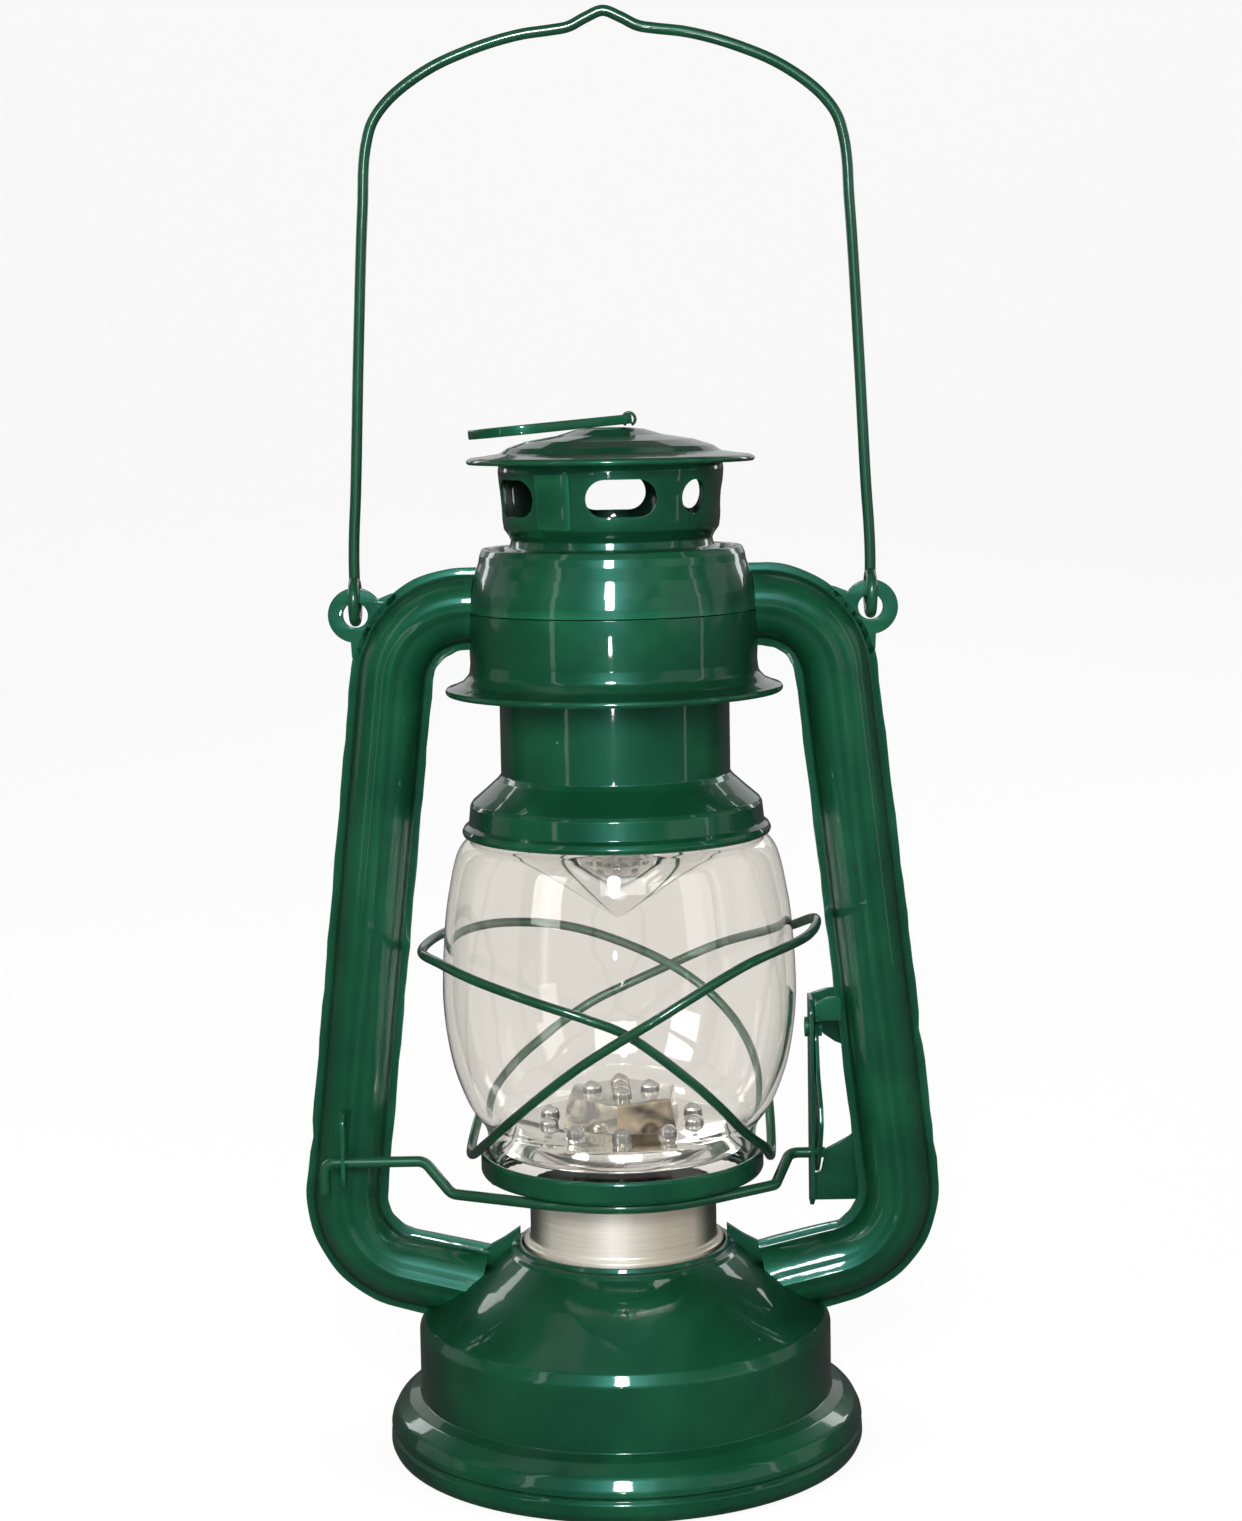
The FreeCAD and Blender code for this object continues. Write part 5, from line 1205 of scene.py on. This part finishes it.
for tab in (BRACKET_LOWER_TAB, BRACKET_UPPER_TAB):
    bracket_parts.append(plate("bracket_tab", fillet(tab, closed=True), [], "y", 3.2, 4.2))
stand_in(join("lever_bracket_plate", bracket_parts), "lever_bracket")

# ----------------------------------------------------------------- lift lever
PIVOT_Z = 101.5
CAM_RADIUS = 31.1                 # pivot to the slot at the start of the throw
CAM_TRAVEL = 8.0                  # how much nearer the slot comes over the throw
CAM_THROW = math.radians(35)
CAM_HALF_WIDTH = 1.5
LEVER_X = 46.7                    # inner face of the lever
# Outline: y, height over the pivot[, fillet].
LEVER_OUTLINE = [
    (-2.6, -2.0, 3.0), (-7.2, -10.0, 5.0), (-16.4, -15.6, 2.0), (-18.2, -20.0, 2.0),
    (-13.2, -26.4, 4.0), (-6.4, -32.4, 4.0), (-1.0, -35.6, 2.0), (3.4, -34.6, 2.0),
    (3.6, -29.0, 4.0), (2.6, -14.0, 6.0), (3.0, 0.0, 3.0), (2.2, 2.6, 1.5),
    (0.0, 3.4, 2.0), (-8.0, 4.4), (-8.0, 3.0), (-3.4, 1.6, 2.0)]
# Finger tab: x, height over the pivot[, fillet].
LEVER_TAB = [(LEVER_X, 3.1), (52.8, 3.1, 0.5), (52.8, 8.2, 0.8), (51.8, 9.0, 0.8),
             (49.2, 8.7, 2.0), (LEVER_X, 7.4, 0.8)]


def over_pivot(points):
    return fillet([(u, PIVOT_Z + v, *rest) for u, v, *rest in points], closed=True)


def direction(start, end):
    return Vector((end[0] - start[0], end[1] - start[1])).normalized()


def cam_slot():
    """Spiral slot round the pivot that nears it as it turns, with half-round ends."""
    last = 24
    spine = []
    for k in range(last + 1):
        a = -CAM_THROW * 0.05 + CAM_THROW * 1.09 * k / last
        radius = CAM_RADIUS - CAM_TRAVEL * a / CAM_THROW
        spine.append((-radius * math.sin(a), PIVOT_Z - radius * math.cos(a)))
    half = CAM_HALF_WIDTH
    left, right = [], []
    for i, (y, z) in enumerate(spine):
        d = direction(spine[max(i - 1, 0)], spine[min(i + 1, last)])
        left.append((y - d.y * half, z + d.x * half))
        right.append((y + d.y * half, z - d.x * half))

    def rounded_end(center, d):
        angles = [math.pi * k / 8 for k in range(1, 8)]
        return [(center[0] + half * (-d.y * math.cos(a) + d.x * math.sin(a)),
                 center[1] + half * (d.x * math.cos(a) + d.y * math.sin(a)))
                for a in angles]

    return (left + rounded_end(spine[-1], direction(spine[-2], spine[-1]))
            + right[::-1] + rounded_end(spine[0], direction(spine[1], spine[0])))


lever = plate("lever_web", over_pivot(LEVER_OUTLINE), [cam_slot()], "x",
              LEVER_X, LEVER_X + 1.0)
finger_tab = plate("lever_tab", over_pivot(LEVER_TAB), [], "y", -8.0, -7.0)
stand_in(join("lift_lever_plate", [lever, finger_tab]), "lift_lever")

# Slotted lug at the left tube: y, z[, fillet].
GUIDE_LUG = [(-8.12, 67.0), (-8.12, 85.0), (-12.0, 85.0, 1.2), (-14.4, 83.4, 1.2),
             (-14.4, 69.0, 1.2), (-13.0, 67.0, 1.0)]
stand_in(plate("wire_guide_plate", fillet(GUIDE_LUG, closed=True),
               [rounded_box(-13.5, 71.4, -10.5, 82.7, 1.4)], "x", -66.9, -65.9),
         "wire_guide_lug")

# ---------------------------------------------------------------- dimmer knob
KNOB_Y, KNOB_Z = 51.9, 22.0
KNOB_FLUTES, FLUTE_DEPTH = 24, 0.38
# Profile from the mounting face outwards: radius, distance along +Y.
KNOB_PROFILE = [(0.0, 0.0), (6.6, 0.0), (7.4, 0.5), (7.4, 4.2), (7.0, 4.8), (6.2, 5.15),
                (4.9, 5.15), (4.6, 4.95), (0.0, 4.95)]


def knob():
    """Revolves the profile about the Y direction, with flutes round the rim."""
    segments, count = 96, len(KNOB_PROFILE)
    verts, faces = [], []
    for k in range(segments):
        a = 2 * math.pi * k / segments
        flute = FLUTE_DEPTH * max(0.0, math.cos(a * KNOB_FLUTES)) ** 0.7
        for radius, y in KNOB_PROFILE:
            r = radius - (flute if radius > 6.4 else 0.0)
            verts.append((r * math.cos(a), KNOB_Y + y, KNOB_Z + r * math.sin(a)))
        here, ahead = k * count, (k + 1) % segments * count
        for i in range(count - 1):
            faces.append((here + i, ahead + i, ahead + i + 1, here + i + 1))
    return make_object("dimmer_knob_grip", verts, faces, MATERIALS["black_plastic"], sharp=35)


grip = knob()
pointer = plate("dimmer_pointer", rounded_box(-0.45, 24.2, 0.45, 28.0, 0.3), [],
                "y", 56.8, 57.15, MATERIALS["circuit_board"], bevel=0.08)
stand_in(grip, "dimmer_knob")
add_detail(pointer, "dimmer")

# ------------------------------------------------------ finish of the CAD nodes
for node, obj in frame["nodes"].items():
    material = MATERIALS[slot_of_node[node]]
    if not obj.data.materials:
        obj.data.materials.append(material)
    for i in range(len(obj.data.materials)):
        obj.data.materials[i] = material

# ---------------------------------------------------------------------- floor
# Paper sweep that curves up behind the lantern: y, z.
FLOOR_LINE = [(-3000.0, 0.0), (1200.0, 0.0), (1600.0, 30.0), (1950.0, 160.0),
              (2200.0, 420.0), (2320.0, 800.0), (2350.0, 3200.0)]
FLOOR_HALF_WIDTH = 4000.0
FLOOR_GAP = 0.3       # the paper lies this far below z = 0
floor = make_object(
    "studio_floor",
    [(x, y, z - FLOOR_GAP) for y, z in FLOOR_LINE
     for x in (-FLOOR_HALF_WIDTH, FLOOR_HALF_WIDTH)],
    [(2 * i, 2 * i + 1, 2 * i + 3, 2 * i + 2) for i in range(len(FLOOR_LINE) - 1)],
    studio_paper("studio_paper", color=(0.90, 0.90, 0.90)))


# --------------------------------------------------------------------- lights
def area(name, location, aim, size, watts, color=(1, 1, 1), mirrored=True):
    """Area light aimed at height aim on the axis; unmirrored, reflections don't show it."""
    light = bpy.data.lights.new(name, "AREA")
    light.shape = "RECTANGLE"
    light.size, light.size_y = size
    light.energy = watts
    light.color = color
    obj = bpy.data.objects.new(name, light)
    obj.location = location
    toward = Vector((0, 0, aim)) - Vector(location)
    obj.rotation_euler = toward.to_track_quat("-Z", "Y").to_euler()
    bpy.context.scene.collection.objects.link(obj)
    if not mirrored:
        obj.visible_glossy = False
    return obj


area("key_left", (-0.95, -0.80, 0.55), aim=0.15, size=(0.5, 0.6), watts=8.0,
     color=(1.0, 0.99, 0.97), mirrored=False)
area("fill_right", (1.05, -0.70, 0.40), aim=0.15, size=(0.5, 0.7), watts=3.2,
     color=(0.98, 0.99, 1.0), mirrored=False)
area("front_wide", (0.1, -1.5, 0.8), aim=0.15, size=(0.9, 0.5), watts=9.0, mirrored=False)
area("window_left", (-0.95, -0.85, 0.42), aim=0.15, size=(0.09, 1.8), watts=0.75,
     color=(0.97, 1.0, 0.99))
area("window_right", (1.15, -0.35, 0.40), aim=0.15, size=(0.06, 1.4), watts=0.30,
     color=(0.98, 0.99, 1.0))
flash = area("flash", (-0.034, -0.80, 0.50), aim=0.18, size=(0.125, 0.34), watts=4.4,
             color=(0.99, 1.0, 1.0))
flash.data.shape = "ELLIPSE"
area("flash_low", (-0.034, -0.84, 0.118), aim=0.16, size=(0.03, 0.035), watts=0.35,
     color=(1.0, 0.99, 0.97))
area("top_soft", (0.1, 0.1, 1.35), aim=0.1, size=(0.8, 0.6), watts=7.0, mirrored=False)
area("back_left", (-0.9, 0.9, 0.6), aim=0.15, size=(0.18, 0.7), watts=1.4)
area("back_right", (0.9, 0.9, 0.6), aim=0.15, size=(0.18, 0.7), watts=1.4)
area("fill_behind", (0.5, 1.5, 0.8), aim=0.15, size=(0.9, 0.5), watts=5.0, mirrored=False)
# This one shows in reflections only.
backdrop = area("backdrop_glow", (0, 1.3, 0.62), aim=0.2, size=(1.6, 0.7), watts=2.0)
backdrop.visible_camera = False
backdrop.visible_transmission = False
backdrop.visible_diffuse = False


# ---------------------------------------------------------------------- world
def build_world():
    """Blotchy dark room in reflections, white to the camera, dim grey as fill light."""
    world = bpy.data.worlds.new("studio")
    bpy.context.scene.world = world
    world.use_nodes = True
    nodes = Nodes(world.node_tree)
    rays = nodes.node("LightPath").outputs
    place = nodes.node("TexCoord").outputs["Generated"]
    room = nodes.ramp(nodes.noise(place, scale=1.9, distortion=0.6), [
        (0.40, (0.010, 0.010, 0.010)),
        (0.52, (0.060, 0.062, 0.062)),
        (0.64, (0.42, 0.43, 0.43))])
    color = nodes.mix(rays["Is Camera Ray"], room, (1.0, 1.0, 1.0, 1))
    color = nodes.mix(rays["Is Transmission Ray"], color, WARM_THROUGH_GLASS)
    color = nodes.mix(rays["Is Diffuse Ray"], color, (0.15, 0.15, 0.15, 1))
    nodes.own("BACKGROUND", {"Color": color, "Strength": 1.0})


build_world()
bpy.context.scene.view_settings.view_transform = "Standard"

# --------------------------------------------------------------------- camera
CAMERA_PLACE = Vector((0.0013, -0.6815, 0.2518))
CAMERA_DOWN = 7.097       # degrees below level
CAMERA_ROLL = -0.98       # degrees about the line of sight
camera_data = bpy.data.cameras.new("camera")
camera_data.sensor_width = 36.0
camera_data.lens = 68.1656805
camera_data.clip_start = 0.01
camera = linked("camera", camera_data)
camera.matrix_world = (Matrix.Translation(CAMERA_PLACE)
                       @ Matrix.Rotation(math.radians(90 - CAMERA_DOWN), 4, "X")
                       @ Matrix.Rotation(math.radians(CAMERA_ROLL), 4, "Z"))
bpy.context.scene.camera = camera

bpy.context.view_layer.update()
